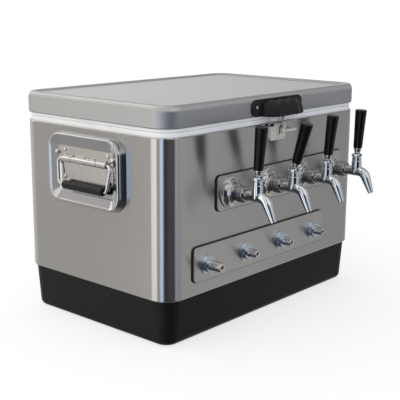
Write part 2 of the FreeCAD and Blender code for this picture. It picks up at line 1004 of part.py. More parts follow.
def make_lid_liner():
    """The lid's lower moulding: an edge that shows under the steel, a plug and a groove for the seal."""
    flange = lid_inside().common(lid_slab(0, lid_bottom + sheet, lid_liner_top))
    edge = lid_slab(lid_rim_inset, lid_rim_bottom, lid_bottom + sheet)
    plug = plug_slab(0, plug_bottom, lid_rim_bottom)
    hollow = plug_slab(liner_wall, plug_bottom + liner_wall, lid_liner_top)
    liner = flange.fuse([edge, plug]).removeSplitter()
    return cut_all(liner, [hollow, gasket_ring(lid_rim_bottom, gasket_top)])


def make_lid_foam():
    above = lid_inside().common(lid_slab(0, lid_liner_top, lid_top))
    below = plug_slab(liner_wall, plug_bottom + liner_wall, lid_liner_top)
    return above.fuse(below).removeSplitter()


def make_lid_gasket():
    return gasket_ring(gasket_bottom, gasket_top)


# ---------------------------------------------------------------- lid handle and latch, in the front frame


def cup_block(inset, bottom):
    """The finger cup's bulge: a quarter-round brow over a flat front, with rounded ends."""
    back = lid_overhang + lid_handle_flange
    top = cup_top - inset
    reach = cup_reach - inset
    brow = cup_brow_radius - inset
    middle = brow * (1 - math.sqrt(0.5))
    half = cup_width / 2 - inset
    left = lid_handle_x - half
    corners = [
        Vector(left, bottom, back),
        Vector(left, top, back),
        Vector(left, top, reach - brow),
        Vector(left, top - brow, reach),
        Vector(left, bottom, reach),
    ]
    edges = [
        Part.makeLine(corners[0], corners[1]),
        Part.makeLine(corners[1], corners[2]),
        Part.Arc(corners[2], Vector(left, top - middle, reach - middle), corners[3]).toShape(),
        Part.makeLine(corners[3], corners[4]),
        Part.makeLine(corners[4], corners[0]),
    ]
    bulge = Part.Face(Part.Wire(edges)).extrude(Vector(2 * half, 0, 0))
    ends = slab(
        2 * half,
        2 * reach,
        cup_end_radius - inset,
        bottom - overcut,
        cup_top + overcut,
        lid_handle_x,
    )
    return bulge.common(upright(ends, 0))


def make_strike_plate():
    back = lid_overhang
    jog_top = lid_handle_bottom - strike_jog_gap
    jog_bottom = jog_top - strike_jog
    strike_top = lid_bottom + strike_plate_rise
    strike_bottom = latch_height + strike_end_rise
    outline = [
        (back, strike_top),
        (back + strike_sheet, strike_top),
        (back + strike_sheet, jog_top),
        (hook_back + strike_sheet, jog_bottom),
        (hook_back + strike_sheet, strike_bottom),
        (hook_back, strike_bottom),
        (hook_back, jog_bottom - strike_jog_fold),
        (back, jog_top - strike_jog_fold),
    ]
    return profile_along_x(outline, strike_width, latch_x)


def make_latch_strike():
    pin_start = latch_sheet + 2 * moving_gap
    pin_height = latch_height + latch_pin_circle
    pin = disc(latch_pin_radius, pin_start, hook_back + strike_sheet / 2, latch_x, pin_height)
    return make_strike_plate().fuse(pin).removeSplitter()


def make_lid_handle():
    """A flange with a finger cup that is open underneath, scalloped for four fingers."""
    flange_top = lid_overhang + lid_handle_flange
    flange = slab(
        lid_handle_width,
        lid_handle_top - lid_handle_bottom,
        lid_handle_corner,
        lid_overhang,
        flange_top,
        lid_handle_x,
        (lid_handle_top + lid_handle_bottom) / 2,
    )
    cup = cup_block(0, lid_handle_bottom)
    first = lid_handle_x - (finger_count - 1) * finger_pitch / 2
    groove_out = cup_reach + finger_radius - finger_depth
    grooves = [
        Part.makeCylinder(
            finger_radius,
            cup_height + 2 * overcut,
            Vector(first + n * finger_pitch, lid_handle_bottom - overcut, groove_out),
            Vector(0, 1, 0),
        )
        for n in range(finger_count)
    ]
    hollow = cup_block(cup_wall, lid_handle_bottom - overcut)
    handle = flange.fuse(cup.cut(grooves)).removeSplitter().cut(hollow)
    return handle.cut(make_strike_plate())


def make_lid_handle_screws():
    face = lid_overhang + lid_handle_flange
    height = lid_handle_bottom + cup_screw_rise
    xs = (lid_handle_x - cup_screw_spread, lid_handle_x + cup_screw_spread)
    return group([raised_head(screw_radius, screw_rise, face, x, height) for x in xs])


def make_latch_plate():
    width = latch_plate_right - latch_plate_left
    height = latch_plate_top - latch_plate_bottom
    middle_x = (latch_plate_right + latch_plate_left) / 2
    middle_y = (latch_plate_top + latch_plate_bottom) / 2
    plate = slab(width, height, latch_plate_corner, 0, latch_sheet, middle_x, middle_y)
    fold = Part.makeBox(latch_sheet, height - 2 * latch_plate_corner, latch_fold)
    fold.translate(Vector(latch_plate_left, latch_plate_bottom + latch_plate_corner, 0))
    stud_end = rotor_face + rotor_hub_height - rotor_hub_cap - stud_end_gap
    stud = disc(rotor_stud_radius, 0, stud_end, latch_x, latch_height)
    return plate.fuse([fold, stud]).removeSplitter()


def make_latch_screws():
    height = latch_height - latch_screw_drop
    xs = (latch_plate_left + latch_screw_inset, latch_plate_right - latch_screw_inset)
    return group([raised_head(latch_screw_radius, latch_screw_rise, latch_sheet, x, height) for x in xs])


def make_latch_lever():
    """A disc with a curved slot for the strike's pin, and a thumb blade."""
    back = latch_sheet + moving_gap
    front = rotor_face
    hub_top = front + rotor_hub_height
    rotor = disc(rotor_radius, back, front)
    hub = disc(rotor_hub_radius, back, hub_top)
    blade = Part.makeBox(blade_length, blade_thickness, blade_height)
    blade.translate(Vector(0, -blade_thickness / 2, front))
    lever = rotor.fuse([hub, blade]).removeSplitter()
    slot_half = latch_pin_radius + latch_slot_clearance
    mouth = Part.makeBox(2 * slot_half, rotor_radius, rotor_thickness)
    mouth.translate(Vector(-slot_half, latch_pin_circle, back))
    sweep = disc(latch_pin_circle + slot_half, back, front)
    sweep = sweep.cut(disc(latch_pin_circle - slot_half, back, front))
    wedge = Part.makeCylinder(
        2 * rotor_radius, rotor_thickness, Vector(0, 0, back), Vector(0, 0, 1), latch_travel
    )
    wedge.rotate(Vector(0, 0, 0), Vector(0, 0, 1), 90)
    slot_end = disc(slot_half, back, front, 0, latch_pin_circle)
    far_end = slot_end.copy()
    far_end.rotate(Vector(0, 0, 0), Vector(0, 0, 1), latch_travel)
    bore = disc(rotor_stud_radius + fit_clearance, back, hub_top - rotor_hub_cap)
    lever = cut_all(lever, [mouth, sweep.common(wedge), slot_end, far_end, bore])
    lever.translate(Vector(latch_x, latch_height, 0))
    return lever


# ---------------------------------------------------------------- drain, drawn about its own axis


def make_drain_fitting():
    inside = liner_inside - drain_inside
    flange_top = drain_seat + drain_flange_thickness
    return turned(
        [
            (drain_bore, inside),
            (drain_tube_radius, inside),
            (drain_tube_radius, drain_seat),
            (drain_flange_radius, drain_seat),
            (drain_flange_radius, flange_top),
            (drain_tube_radius, flange_top),
            (drain_tube_radius, drain_tube_end),
            (drain_bore, drain_tube_end),
        ]
    )


def make_drain_nut():
    back = liner_inside - drain_nut_thickness
    return ring(drain_nut_radius, drain_tube_radius + fit_clearance, back, liner_inside)


def make_drain_cap():
    """A cup over the spout of the drain, with a bar across its end to turn it by."""
    start = drain_seat + drain_flange_thickness + moving_gap
    inner_end = drain_tube_end + moving_gap
    outer_end = inner_end + cap_wall
    inner = drain_tube_radius + moving_gap
    cap = turned(
        [
            (inner, start),
            (cap_radius, start),
            (cap_radius, outer_end),
            (0, outer_end),
            (0, inner_end),
            (inner, inner_end),
        ]
    )
    bar = Part.makeBox(2 * cap_radius - cap_bar_width, cap_bar_width, cap_bar_height)
    bar.translate(Vector(-cap_radius + cap_bar_width / 2, -cap_bar_width / 2, outer_end))
    return cap.fuse(bar).removeSplitter()


# ---------------------------------------------------------------- the whole cooler


def repeat_on_front(shape, xs, height):
    return group([on_front(shape, x, height) for x in xs])


def make_parts():
    parts = {
        "base_skirt": make_base_skirt(),
        "body_wrap": make_body_wrap(),
        "body_foam": make_body_foam(),
        "inner_liner": make_inner_liner(),
        "faucet_plate_pad": make_faucet_plate(pad_overhang, 0, pad_thickness),
        "faucet_plate": make_faucet_plate(0, pad_thickness, plate_face),
        "inlet_plate_pad": make_inlet_plate(pad_overhang, 0, pad_thickness),
        "inlet_plate": make_inlet_plate(0, pad_thickness, plate_face),
        "tap_shanks": repeat_on_front(make_shank(), tap_xs, faucet_row_height),
        "tap_flanges": repeat_on_front(make_flange(), tap_xs, faucet_row_height),
        "tap_coupling_nuts": repeat_on_front(make_coupling_nut(), tap_xs, faucet_row_height),
        "shank_lock_nuts": repeat_on_front(make_lock_nut(), tap_xs, faucet_row_height),
    }
    faucet = make_faucet()
    for n, x in enumerate(tap_xs):
        degrees = lever_leans[n % len(lever_leans)]
        name = f"tap_{n + 1}"
        parts[name + "_faucet"] = on_front(faucet, x, faucet_row_height)
        parts[name + "_lever"] = on_front(make_lever(degrees), x, faucet_row_height)
        parts[name + "_handle"] = on_front(make_tap_handle(degrees), x, faucet_row_height)

    front_nut = make_inlet_nut(inlet_nut_flats, washer_face, inlet_nut_face)
    back_nut = make_inlet_nut(back_nut_flats, liner_inside - back_nut_thickness, liner_inside)
    parts["inlet_fittings"] = repeat_on_front(make_inlet_fitting(), inlet_xs, inlet_row_height)
    parts["inlet_washers"] = repeat_on_front(make_inlet_washer(), inlet_xs, inlet_row_height)
    parts["inlet_nuts"] = repeat_on_front(front_nut, inlet_xs, inlet_row_height)
    parts["inlet_back_nuts"] = repeat_on_front(back_nut, inlet_xs, inlet_row_height)
    parts["cold_plate"] = make_cold_plate()
    parts["inlet_hoses"] = make_inlet_hoses()
    parts["outlet_hoses"] = make_outlet_hoses()

    dish = make_handle_dish()
    bracket = make_handle_bracket()
    bail = make_bail()
    grip = make_grip()
    for side, placed in (("left", on_left), ("right", on_right)):
        parts[side + "_handle_dish"] = placed(dish)
        parts[side + "_handle_bracket"] = placed(bracket)
        parts[side + "_bail"] = placed(bail)
        parts[side + "_grip"] = placed(grip)
    rivets = make_rivets()
    parts["handle_rivets"] = group(on_left(rivets).Solids + on_right(rivets).Solids)

    parts["hinge_body_leaves"] = on_both_hinges(make_body_leaf())
    parts["hinge_lid_leaves"] = on_both_hinges(make_lid_leaf())
    parts["hinge_pins"] = on_both_hinges(make_hinge_pin())

    parts["lid_skin"] = make_lid_skin()
    parts["lid_liner"] = make_lid_liner()
    parts["lid_foam"] = make_lid_foam()
    parts["lid_gasket"] = make_lid_gasket()
    parts["lid_handle"] = on_front(make_lid_handle())
    parts["lid_handle_screws"] = on_front(make_lid_handle_screws())
    parts["latch_strike"] = on_front(make_latch_strike())
    parts["latch_plate"] = on_front(make_latch_plate())
    parts["latch_screws"] = on_front(make_latch_screws())
    parts["latch_lever"] = on_front(make_latch_lever())

    parts["drain_fitting"] = on_right(make_drain_fitting(), drain_height)
    parts["drain_nut"] = on_right(make_drain_nut(), drain_height)
    parts["drain_cap"] = on_right(make_drain_cap(), drain_height)
    return parts


os.makedirs("parts", exist_ok=True)
for name, shape in make_parts().items():
    if not shape.isValid():
        print("not valid:", name)
    shape.exportStep(f"parts/{name}.step")
    print(f"{name}: {len(shape.Solids)} solid, {shape.Volume / 1000:.1f} cm3")
print(f"hose bends: {outlet_bend} and {inlet_bend} mm, hose {2 * hose_radius} mm across")
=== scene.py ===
import math
import bpy
import bmesh
from mathutils import Matrix, Vector


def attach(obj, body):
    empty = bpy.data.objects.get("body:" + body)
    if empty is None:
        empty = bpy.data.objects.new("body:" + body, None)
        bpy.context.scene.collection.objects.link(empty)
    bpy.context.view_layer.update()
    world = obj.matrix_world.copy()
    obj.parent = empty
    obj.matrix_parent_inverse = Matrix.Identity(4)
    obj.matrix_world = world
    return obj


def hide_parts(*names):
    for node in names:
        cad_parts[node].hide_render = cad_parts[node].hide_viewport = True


# A four-tap beer cooler on a white studio floor.
# Sizes are in millimetres, drawn in the frame of the wall that a piece sits on:
# x to the right as you face the wall, y up from the ground, z straight out of the steel.

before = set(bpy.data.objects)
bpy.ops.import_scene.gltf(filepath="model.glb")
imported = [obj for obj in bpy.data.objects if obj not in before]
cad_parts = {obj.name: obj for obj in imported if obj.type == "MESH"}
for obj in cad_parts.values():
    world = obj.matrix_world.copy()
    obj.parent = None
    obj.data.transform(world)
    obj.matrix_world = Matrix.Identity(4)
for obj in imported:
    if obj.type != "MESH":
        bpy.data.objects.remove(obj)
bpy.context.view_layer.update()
print("frame loaded")

mm = 0.001
chest = {"length": 600, "depth": 391}
onGround = Matrix.Scale(mm, 4)


def wallFrame(right, outward, origin):
    axes = Matrix((right, (0, 0, 1), outward)).transposed().to_4x4()
    return Matrix.Translation(Vector(origin) * mm) @ axes @ Matrix.Scale(mm, 4)


def onFront(x=0, height=0):
    return wallFrame((1, 0, 0), (0, -1, 0), (x, -chest["depth"] / 2, height))


def onLeft():
    return wallFrame((0, -1, 0), (-1, 0, 0), (-chest["length"] / 2, 0, 0))


def onRight():
    return wallFrame((0, 1, 0), (1, 0, 0), (chest["length"] / 2, 0, 0))


def sizesOf(piece, names):
    return [piece[name] for name in names.split()]


def shifted(x, y):
    return Matrix.Translation((x, y, 0))


def upright(out):
    # stands a turned shape up, with its axis along y
    return Matrix.Translation((0, 0, out)) @ Matrix.Rotation(math.radians(-90), 4, "X")


def sideways(height, out):
    # lays a turned shape on its side, with its axis along x
    return Matrix.Translation((0, height, out)) @ Matrix.Rotation(math.radians(90), 4, "Y")


# a shape is a list of points and a list of faces

def moved(shape, matrix):
    points, faces = shape
    return [tuple(matrix @ Vector(point)) for point in points], faces


def joined(shapes):
    points, faces = [], []
    for somePoints, someFaces in shapes:
        first = len(points)
        points += somePoints
        faces += [tuple(first + index for index in face) for face in someFaces]
    return points, faces


def skin(loops, closed=False):
    # covers a row of loops that all have the same number of points
    count = len(loops[0])
    points = [point for loop in loops for point in loop]
    faces = []
    pairs = list(range(len(loops) - 1))
    for row in pairs + ([len(loops) - 1] if closed else []):
        here = row * count
        there = (row + 1) % len(loops) * count
        for step in range(count):
            after = (step + 1) % count
            faces.append((here + step, here + after, there + after, there + step))
    if not closed:
        faces.append(tuple(reversed(range(count))))
        faces.append(tuple(range(len(points) - count, len(points))))
    return points, faces


def turned(profile, steps=48, closed=False):
    # profile is a row of (radius, height)
    pinhole = 0.02  # a point on the axis becomes a ring this small
    turn = math.tau / steps
    around = [(math.cos(turn * k), math.sin(turn * k)) for k in range(steps)]
    rings = [(max(radius, pinhole), height) for radius, height in profile]
    return skin([[(radius * x, radius * y, height) for x, y in around] for radius, height in rings], closed)


def mirrored(row):
    # a profile that goes on the same way past its middle
    return row + [(radius, -height) for radius, height in reversed(row)]


def quarter(steps):
    # cosines and sines of even steps through a quarter turn
    angles = [math.radians(90 * k / steps) for k in range(steps + 1)]
    return [(math.cos(angle), math.sin(angle)) for angle in angles]


def eased(corners, radius, steps=5):
    # rounds the inner corners of an open row of 2D points
    mostShare = 0.48  # of a side's length, for the rounding at each of its ends
    row = [corners[0]]
    for before, corner, after in zip(corners, corners[1:], corners[2:]):
        start, middle, end = Vector(before), Vector(corner), Vector(after)
        reach = min(radius, mostShare * (start - middle).length, mostShare * (end - middle).length)
        first = middle + (start - middle).normalized() * reach
        last = middle + (end - middle).normalized() * reach
        for k in range(steps + 1):
            t = k / steps
            point = first * (1 - t) ** 2 + middle * 2 * t * (1 - t) + last * t ** 2
            row.append(tuple(point))
    row.append(corners[-1])
    return row


def roundedLoop(width, height, corner, level=0, x=0, y=0, steps=8):
    loop = []
    for turn, sx, sy in ((0, 1, 1), (90, -1, 1), (180, -1, -1), (270, 1, -1)):
        for k in range(steps + 1):
            angle = math.radians(turn + 90 * k / steps)
            cx = x + sx * (width / 2 - corner) + corner * math.cos(angle)
            cy = y + sy * (height / 2 - corner) + corner * math.sin(angle)
            loop.append((cx, cy, level))
    return loop


def stacked(width, height, corner, row, x=0, y=0, steps=8, tightest=0):
    # a rounded outline for each (inset, level) of the row
    loops = []
    for inset, level in row:
        size = (width - 2 * inset, height - 2 * inset, max(corner - inset, tightest))
        loops.append(roundedLoop(*size, level, x, y, steps))
    return loops


def prism(outline, low, high):
    return skin([[(x, y, low) for x, y in outline], [(x, y, high) for x, y in outline]])


def prismAlongX(outline, width, x=0):
    # outline is in (out, up)
    ends = (x - width / 2, x + width / 2)
    return skin([[(end, up, out) for out, up in outline] for end in ends])


def bentPath(corners, bend, steps=10):
    # a row of 3D points with true arcs at its corners
    path = [Vector(corners[0])]
    for before, corner, after in zip(corners, corners[1:], corners[2:]):
        corner = Vector(corner)
        back = (Vector(before) - corner).normalized()
        ahead = (Vector(after) - corner).normalized()
        opening = back.angle(ahead)
        reach = bend / math.tan(opening / 2)
        centre = corner + (back + ahead).normalized() * bend / math.sin(opening / 2)
        first, last = corner + back * reach - centre, corner + ahead * reach - centre
        axis = first.cross(last).normalized()
        for k in range(steps + 1):
            turn = Matrix.Rotation((math.pi - opening) * k / steps, 3, axis)
            path.append(centre + turn @ first)
    path.append(Vector(corners[-1]))
    return path


def tube(path, radii, steps=24):
    # radii is one number or one for each point
    path = [Vector(point) for point in path]
    if not isinstance(radii, list):
        radii = [radii] * len(path)
    loops = []
    side = None
    for k, point in enumerate(path):
        before = path[max(k - 1, 0)]
        after = path[min(k + 1, len(path) - 1)]
        along = (after - before).normalized()
        if side is None:
            side = along.orthogonal().normalized()
        side = (side - along * side.dot(along)).normalized()
        other = along.cross(side)
        loop = []
        for n in range(steps):
            angle = math.tau * n / steps
            loop.append(tuple(point + radii[k] * (side * math.cos(angle) + other * math.sin(angle))))
        loops.append(loop)
    return skin(loops)


def hexNut(flats, bore, low, high, steps=48):
    # a nut whose corners are turned down at both ends
    cornerShare, chamferSlope = 1.125, 0.577
    face = flats / 2
    loops = [[] for end in range(6)]
    for k in range(steps):
        angle = math.tau * k / steps
        off = (angle + math.pi / 6) % (math.pi / 3) - math.pi / 6
        reach = min(face / math.cos(off), face * cornerShare)
        drop = (reach - face) * chamferSlope
        ring = ((bore, low), (face, low), (reach, low + drop))
        ring += ((reach, high - drop), (face, high), (bore, high))
        for loop, (radius, height) in zip(loops, ring):
            loop.append((radius * math.cos(angle), radius * math.sin(angle), height))
    return skin(loops, closed=True)


def threadProfile(radius, low, high, pitch=1.6, depth=0.7):
    # rings that read as a screw thread
    turns = max(int((high - low) / pitch), 1)
    step = (high - low) / turns
    tooth = ((0.05, depth), (0.45, 0), (0.6, 0), (0.95, depth))  # share of the pitch, and cut
    return [(radius - cut, low + n * step + share * step) for n in range(turns) for share, cut in tooth]


def rivetHead(radius, rise, face, x, y):
    # a dome on a short straight foot
    foot, dome = 0.15 * rise, 0.85 * rise
    row = [(radius, face)] + [(radius * across, face + foot + dome * up) for across, up in quarter(6)]
    return moved(turned(row, 32), shifted(x, y))


def screwHead(radius, rise, face, x, y):
    # a domed head with a cross in it, turned a little
    arm, width, turnedBy = 0.62 * radius, 0.17 * radius, 0.5
    outline = []
    for turn in (0, 270, 180, 90):
        across, up = math.cos(math.radians(turn)), math.sin(math.radians(turn))
        corners = ((width, width), (arm, width), (arm, -width))
        outline += [(px * across - py * up, px * up + py * across) for px, py in corners]
    cross = prism(outline, face + 0.35 * rise, face + rise + 1)
    head = cutAway(rivetHead(radius, rise, face, 0, 0), cross)
    return moved(head, shifted(x, y) @ Matrix.Rotation(turnedBy, 4, "Z"))


def asMesh(name, shape, place=None):
    points, faces = shape
    sameSpot = 1e-4  # points nearer than this become one, in millimetres
    if place is not None:
        points = [place @ Vector(point) for point in points]
        sameSpot = 2e-6  # in metres
    mesh = bpy.data.meshes.new(name)
    mesh.from_pydata([tuple(point) for point in points], [], faces)
    work = bmesh.new()
    work.from_mesh(mesh)
    bmesh.ops.remove_doubles(work, verts=work.verts, dist=sameSpot)
    bmesh.ops.recalc_face_normals(work, faces=work.faces)
    work.to_mesh(mesh)
    work.free()
    return mesh


def settled(thing):
    # the object's mesh with its modifiers worked in
    graph = bpy.context.evaluated_depsgraph_get()
    evaluated = thing.evaluated_get(graph)
    return bpy.data.meshes.new_from_object(evaluated, preserve_all_data_layers=True, depsgraph=graph)


def cutAway(shape, tool):
    stock = bpy.data.objects.new("stock", asMesh("stock", shape))
    cutter = bpy.data.objects.new("cutter", asMesh("cutter", tool))
    for thing in (stock, cutter):
        bpy.context.scene.collection.objects.link(thing)
    cut = stock.modifiers.new("cut", "BOOLEAN")
    cut.object = cutter
    cut.operation = "DIFFERENCE"
    cut.solver = "EXACT"
    mesh = settled(stock)
    points = [tuple(vertex.co) for vertex in mesh.vertices]
    faces = [tuple(polygon.vertices) for polygon in mesh.polygons]
    for thing in (stock, cutter):
        bpy.data.objects.remove(thing)
    bpy.data.meshes.remove(mesh)
    return points, faces


def addPiece(name, shape, finish, replaced="", body="chest", place=None, edge=0, sharp=35):
    # edge is how wide the corners steeper than sharp degrees are rounded
    mesh = asMesh(name, shape, onFront() if place is None else place)
    for polygon in mesh.polygons:
        polygon.use_smooth = True
    piece = bpy.data.objects.new(name, mesh)
    bpy.context.scene.collection.objects.link(piece)
    if edge:
        bevel = piece.modifiers.new("softened", "BEVEL")
        bevel.width = edge * mm
        bevel.segments = 2
        bevel.limit_method = "ANGLE"
        bevel.angle_limit = math.radians(sharp)
    else:
        mesh.set_sharp_from_angle(angle=math.radians(sharp))
    evened = piece.modifiers.new("evened", "WEIGHTED_NORMAL")
    evened.keep_sharp = True
    finished = settled(piece)
    piece.modifiers.clear()
    piece.data = finished
    finished.materials.clear()
    finished.materials.append(finish)
    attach(piece, body)
    if replaced:
        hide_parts(replaced)


# finishes

def newFinish(name, colour, roughness, metal=0, **extras):
    finish = bpy.data.materials.new(name)
    finish.use_nodes = True
    shader = finish.node_tree.nodes["Principled BSDF"]
    shader.inputs["Base Color"].default_value = (*colour, 1)
    shader.inputs["Roughness"].default_value = roughness
    shader.inputs["Metallic"].default_value = metal
    for socket, value in extras.items():
        shader.inputs[socket.replace("_", " ")].default_value = value
    finish.diffuse_color = (*colour, 1)
    return finish, finish.node_tree, shader


def feed(tree, sockets, values):
    # each socket takes a number, a colour or what another node gives out
    for socket, value in zip(sockets, values):
        if isinstance(value, (int, float)):
            socket.default_value = value
        elif isinstance(value, tuple):
            socket.default_value = (*value, 1)
        else:
            tree.links.new(value, socket)


def mathNode(tree, operation, *values):
    node = tree.nodes.new("ShaderNodeMath")
    node.operation = operation
    feed(tree, node.inputs, values)
    return node.outputs[0]


def axesOf(tree, vector):
    node = tree.nodes.new("ShaderNodeSeparateXYZ")
    tree.links.new(vector, node.inputs[0])
    return node.outputs


def vectorOf(tree, *values):
    node = tree.nodes.new("ShaderNodeCombineXYZ")
    feed(tree, node.inputs, values)
    return node.outputs[0]


def spread(tree, value, fromLow, fromHigh, low=0, high=1):
    # stretches one range of a value to another
    node = tree.nodes.new("ShaderNodeMapRange")
    feed(tree, node.inputs, (value, fromLow, fromHigh, low, high))
    return node.outputs[0]


def blend(tree, share, first, second):
    node = tree.nodes.new("ShaderNodeMix")
    node.data_type = "RGBA"
    feed(tree, (node.inputs[0], node.inputs[6], node.inputs[7]), (share, first, second))
    return node.outputs[2]


def noiseAt(tree, scale, stretch=(1, 1, 1), detail=3, rough=0.55, vector=None):
    mapping = tree.nodes.new("ShaderNodeMapping")
    mapping.inputs["Scale"].default_value = stretch
    if vector is None:
        vector = tree.nodes.new("ShaderNodeTexCoord").outputs["Object"]
    tree.links.new(vector, mapping.inputs["Vector"])
    noise = tree.nodes.new("ShaderNodeTexNoise")
    noise.inputs["Scale"].default_value = scale
    noise.inputs["Detail"].default_value = detail
    noise.inputs["Roughness"].default_value = rough
    tree.links.new(mapping.outputs[0], noise.inputs["Vector"])
    return noise.outputs["Fac"]


def wander(tree, noise, low, high):
    # noise keeps near its middle, so that part of it is stretched
    return spread(tree, noise, 0.3, 0.7, low, high)


def shaded(tree, shader, noise, colour, varied):
    # base colour that wanders between a darker and a lighter shade
    dark = tuple(channel * (1 - varied) for channel in colour)
    light = tuple(min(channel * (1 + varied), 1) for channel in colour)
    tree.links.new(blend(tree, wander(tree, noise, 0, 1), dark, light), shader.inputs["Base Color"])


def glossed(tree, shader, noise, roughness, varied):
    tree.links.new(wander(tree, noise, roughness - varied, roughness + varied), shader.inputs["Roughness"])


def raised(tree, shader, height, depth, strength):
    bump = tree.nodes.new("ShaderNodeBump")
    bump.inputs["Strength"].default_value = strength
    bump.inputs["Distance"].default_value = depth
    tree.links.new(height, bump.inputs["Height"])
    tree.links.new(bump.outputs[0], shader.inputs["Normal"])


def texturedFinish(name, colour, roughness, metal=0, spots=90, varied=0.06, roughVaried=0.04,
                   grain=(1800, 0.00002, 0.3), **extras):
    # slow changes of shade and gloss, with a fine grain over them: its scale, depth in metres and strength
    finish, tree, shader = newFinish(name, colour, roughness, metal, **extras)
    shaded(tree, shader, noiseAt(tree, spots), colour, varied)
    glossed(tree, shader, noiseAt(tree, spots * 3.1), roughness, roughVaried)
    raised(tree, shader, noiseAt(tree, grain[0], detail=2), *grain[1:])
    return finish


brushing = {
    "across": 2600, "varied": 0.015, "roughVaried": 0.006, "depth": 0.00002, "strength": 0.04,
    "level": 0.75,  # a face that looks up or down more than this is taken as level
    "lines": 0.7, "bands": 0.3,  # shares of the fine lines and of the broad bands
}


def brushedFinish(name, colour, roughness, along=7, edgewise=False, **extras):
    # grain that runs round the walls and along the length on top, so reflections smear across it,
    # or edgewise, where the sheet was drawn down over a former and they smear along its edges
    finish, tree, shader = newFinish(name, colour, roughness, 1, **extras)
    coords = tree.nodes.new("ShaderNodeTexCoord").outputs
    facing, place = axesOf(tree, coords["Normal"]), axesOf(tree, coords["Object"])
    level = mathNode(tree, "GREATER_THAN", mathNode(tree, "ABSOLUTE", facing["Z"]), brushing["level"])
    wall = mathNode(tree, "SUBTRACT", 1, level)
    up = mathNode(tree, "MULTIPLY", place["Z"], wall)
    over = mathNode(tree, "MULTIPLY_ADD", place["Y"], level, up)
    grain = vectorOf(tree, place["X"], mathNode(tree, "MULTIPLY", place["Y"], wall), over)
    across = brushing["across"]
    lines = noiseAt(tree, 1, (along, along, across), 4, 0.6, grain)
    bands = noiseAt(tree, 1, (along * 0.3, along * 0.3, across * 0.12), 2, 0.5, grain)
    fine = mathNode(tree, "MULTIPLY", lines, brushing["lines"])
    both = mathNode(tree, "MULTIPLY_ADD", bands, brushing["bands"], fine)
    shaded(tree, shader, both, colour, brushing["varied"])
    glossed(tree, shader, both, roughness, brushing["roughVaried"])
    raised(tree, shader, lines, brushing["depth"], brushing["strength"])
    if edgewise:
        offAxis = 0.03  # keeps a direction on faces that look straight up
        run = vectorOf(tree, mathNode(tree, "SUBTRACT", offAxis, facing["Y"]), facing["X"])
    else:
        run = vectorOf(tree, 0, level, wall)
    world = tree.nodes.new("ShaderNodeVectorTransform")
    world.vector_type = "VECTOR"
    world.convert_from = "OBJECT"
    world.convert_to = "WORLD"
    tree.links.new(run, world.inputs[0])
    tree.links.new(world.outputs[0], shader.inputs["Tangent"])
    return finish


brushedSteel = brushedFinish("brushed steel cladding", (0.56, 0.555, 0.55), 0.25, Anisotropic=0.92)
lidSteel = brushedFinish("formed lid steel", (0.59, 0.585, 0.585), 0.37, edgewise=True, Anisotropic=0.93)
pressedSteel = brushedFinish("pressed dish steel", (0.56, 0.56, 0.57), 0.13, along=20, Anisotropic=0.3)
plateSteel = brushedFinish("tap plate steel", (0.6, 0.59, 0.575), 0.3, along=14, Anisotropic=0.85)
chrome = texturedFinish("polished chrome", (0.8, 0.81, 0.81), 0.11, 1, varied=0.02, roughVaried=0.015,
                        grain=(700, 0.00001, 0.08))
nickel = texturedFinish("bright nickel", (0.7, 0.685, 0.67), 0.2, 1, spots=60, varied=0.05,
                        roughVaried=0.05, grain=(1500, 0.00001, 0.15))
satinNickel = texturedFinish("satin nickel", (0.86, 0.82, 0.75), 0.32, 0.35, spots=80, varied=0.05,
                             roughVaried=0.05, grain=(1500, 0.00001, 0.15))
spunSteel = texturedFinish("spun flange steel", (0.64, 0.635, 0.625), 0.2, 1, spots=60, varied=0.03,
                           roughVaried=0.02, grain=(1800, 0.00002, 0.04))
# the strike's steel is dulled to a mid grey so that it reads like the rim in the lid handle's shade: painted
# shade
shadedStrikeSteel = texturedFinish("strike steel dulled as painted shade", (0.5, 0.5, 0.5), 0.45, 0.5, varied=0.05,
                             grain=(1800, 0.00002, 0.1))
brightWire = texturedFinish("bright plated wire", (0.82, 0.81, 0.8), 0.13, 1, varied=0.03,
                            grain=(900, 0.00001, 0.1))
zinc = texturedFinish("blue zinc plating", (0.66, 0.73, 0.8), 0.22, 1, spots=110, varied=0.07,
                      grain=(1800, 0.00002, 0.06))
stainless = texturedFinish("turned stainless", (0.74, 0.71, 0.67), 0.27, 1, varied=0.04, roughVaried=0.03,
                           grain=(1800, 0.00002, 0.05))
nutSteel = texturedFinish("dark turned nut steel", (0.44, 0.425, 0.41), 0.14, 1, varied=0.05,
                          roughVaried=0.03, grain=(1800, 0.00002, 0.05))
castMetal = texturedFinish("sand-cast aluminium", (0.6, 0.61, 0.62), 0.5, 1, spots=70, varied=0.1,
                           roughVaried=0.08, grain=(600, 0.0004, 0.5))
blackMoulding = texturedFinish("black moulded base", (0.006, 0.006, 0.0065), 0.46, spots=30, varied=0.2,
                               grain=(1400, 0.00012, 0.45), Specular_IOR_Level=0.22)
blackHandle = texturedFinish("glossy black handle", (0.004, 0.004, 0.005), 0.24, spots=40, varied=0.2,
                             grain=(900, 0.00001, 0.1), Specular_IOR_Level=0.25)
satinMoulding = texturedFinish("satin black moulding", (0.008, 0.008, 0.009), 0.48, spots=40, varied=0.2,
                               grain=(1200, 0.0001, 0.3), Specular_IOR_Level=0.35)
blackGrip = texturedFinish("black rubber", (0.006, 0.006, 0.006), 0.4, spots=60, varied=0.2,
                           grain=(1100, 0.0001, 0.4), Specular_IOR_Level=0.3)
padRubber = texturedFinish("black gasket sheet", (0.012, 0.012, 0.012), 0.6, spots=60, varied=0.2)
sealRubber = texturedFinish("grey lid seal", (0.2, 0.2, 0.2), 0.55, spots=50, varied=0.1)
whiteLiner = texturedFinish("white moulded liner", (0.94, 0.94, 0.93), 0.36, spots=25, varied=0.025,
                            grain=(700, 0.0001, 0.2))
foamFill = texturedFinish("poured foam", (0.8, 0.68, 0.42), 0.9, spots=150, varied=0.12,
                          grain=(500, 0.0008, 0.8))
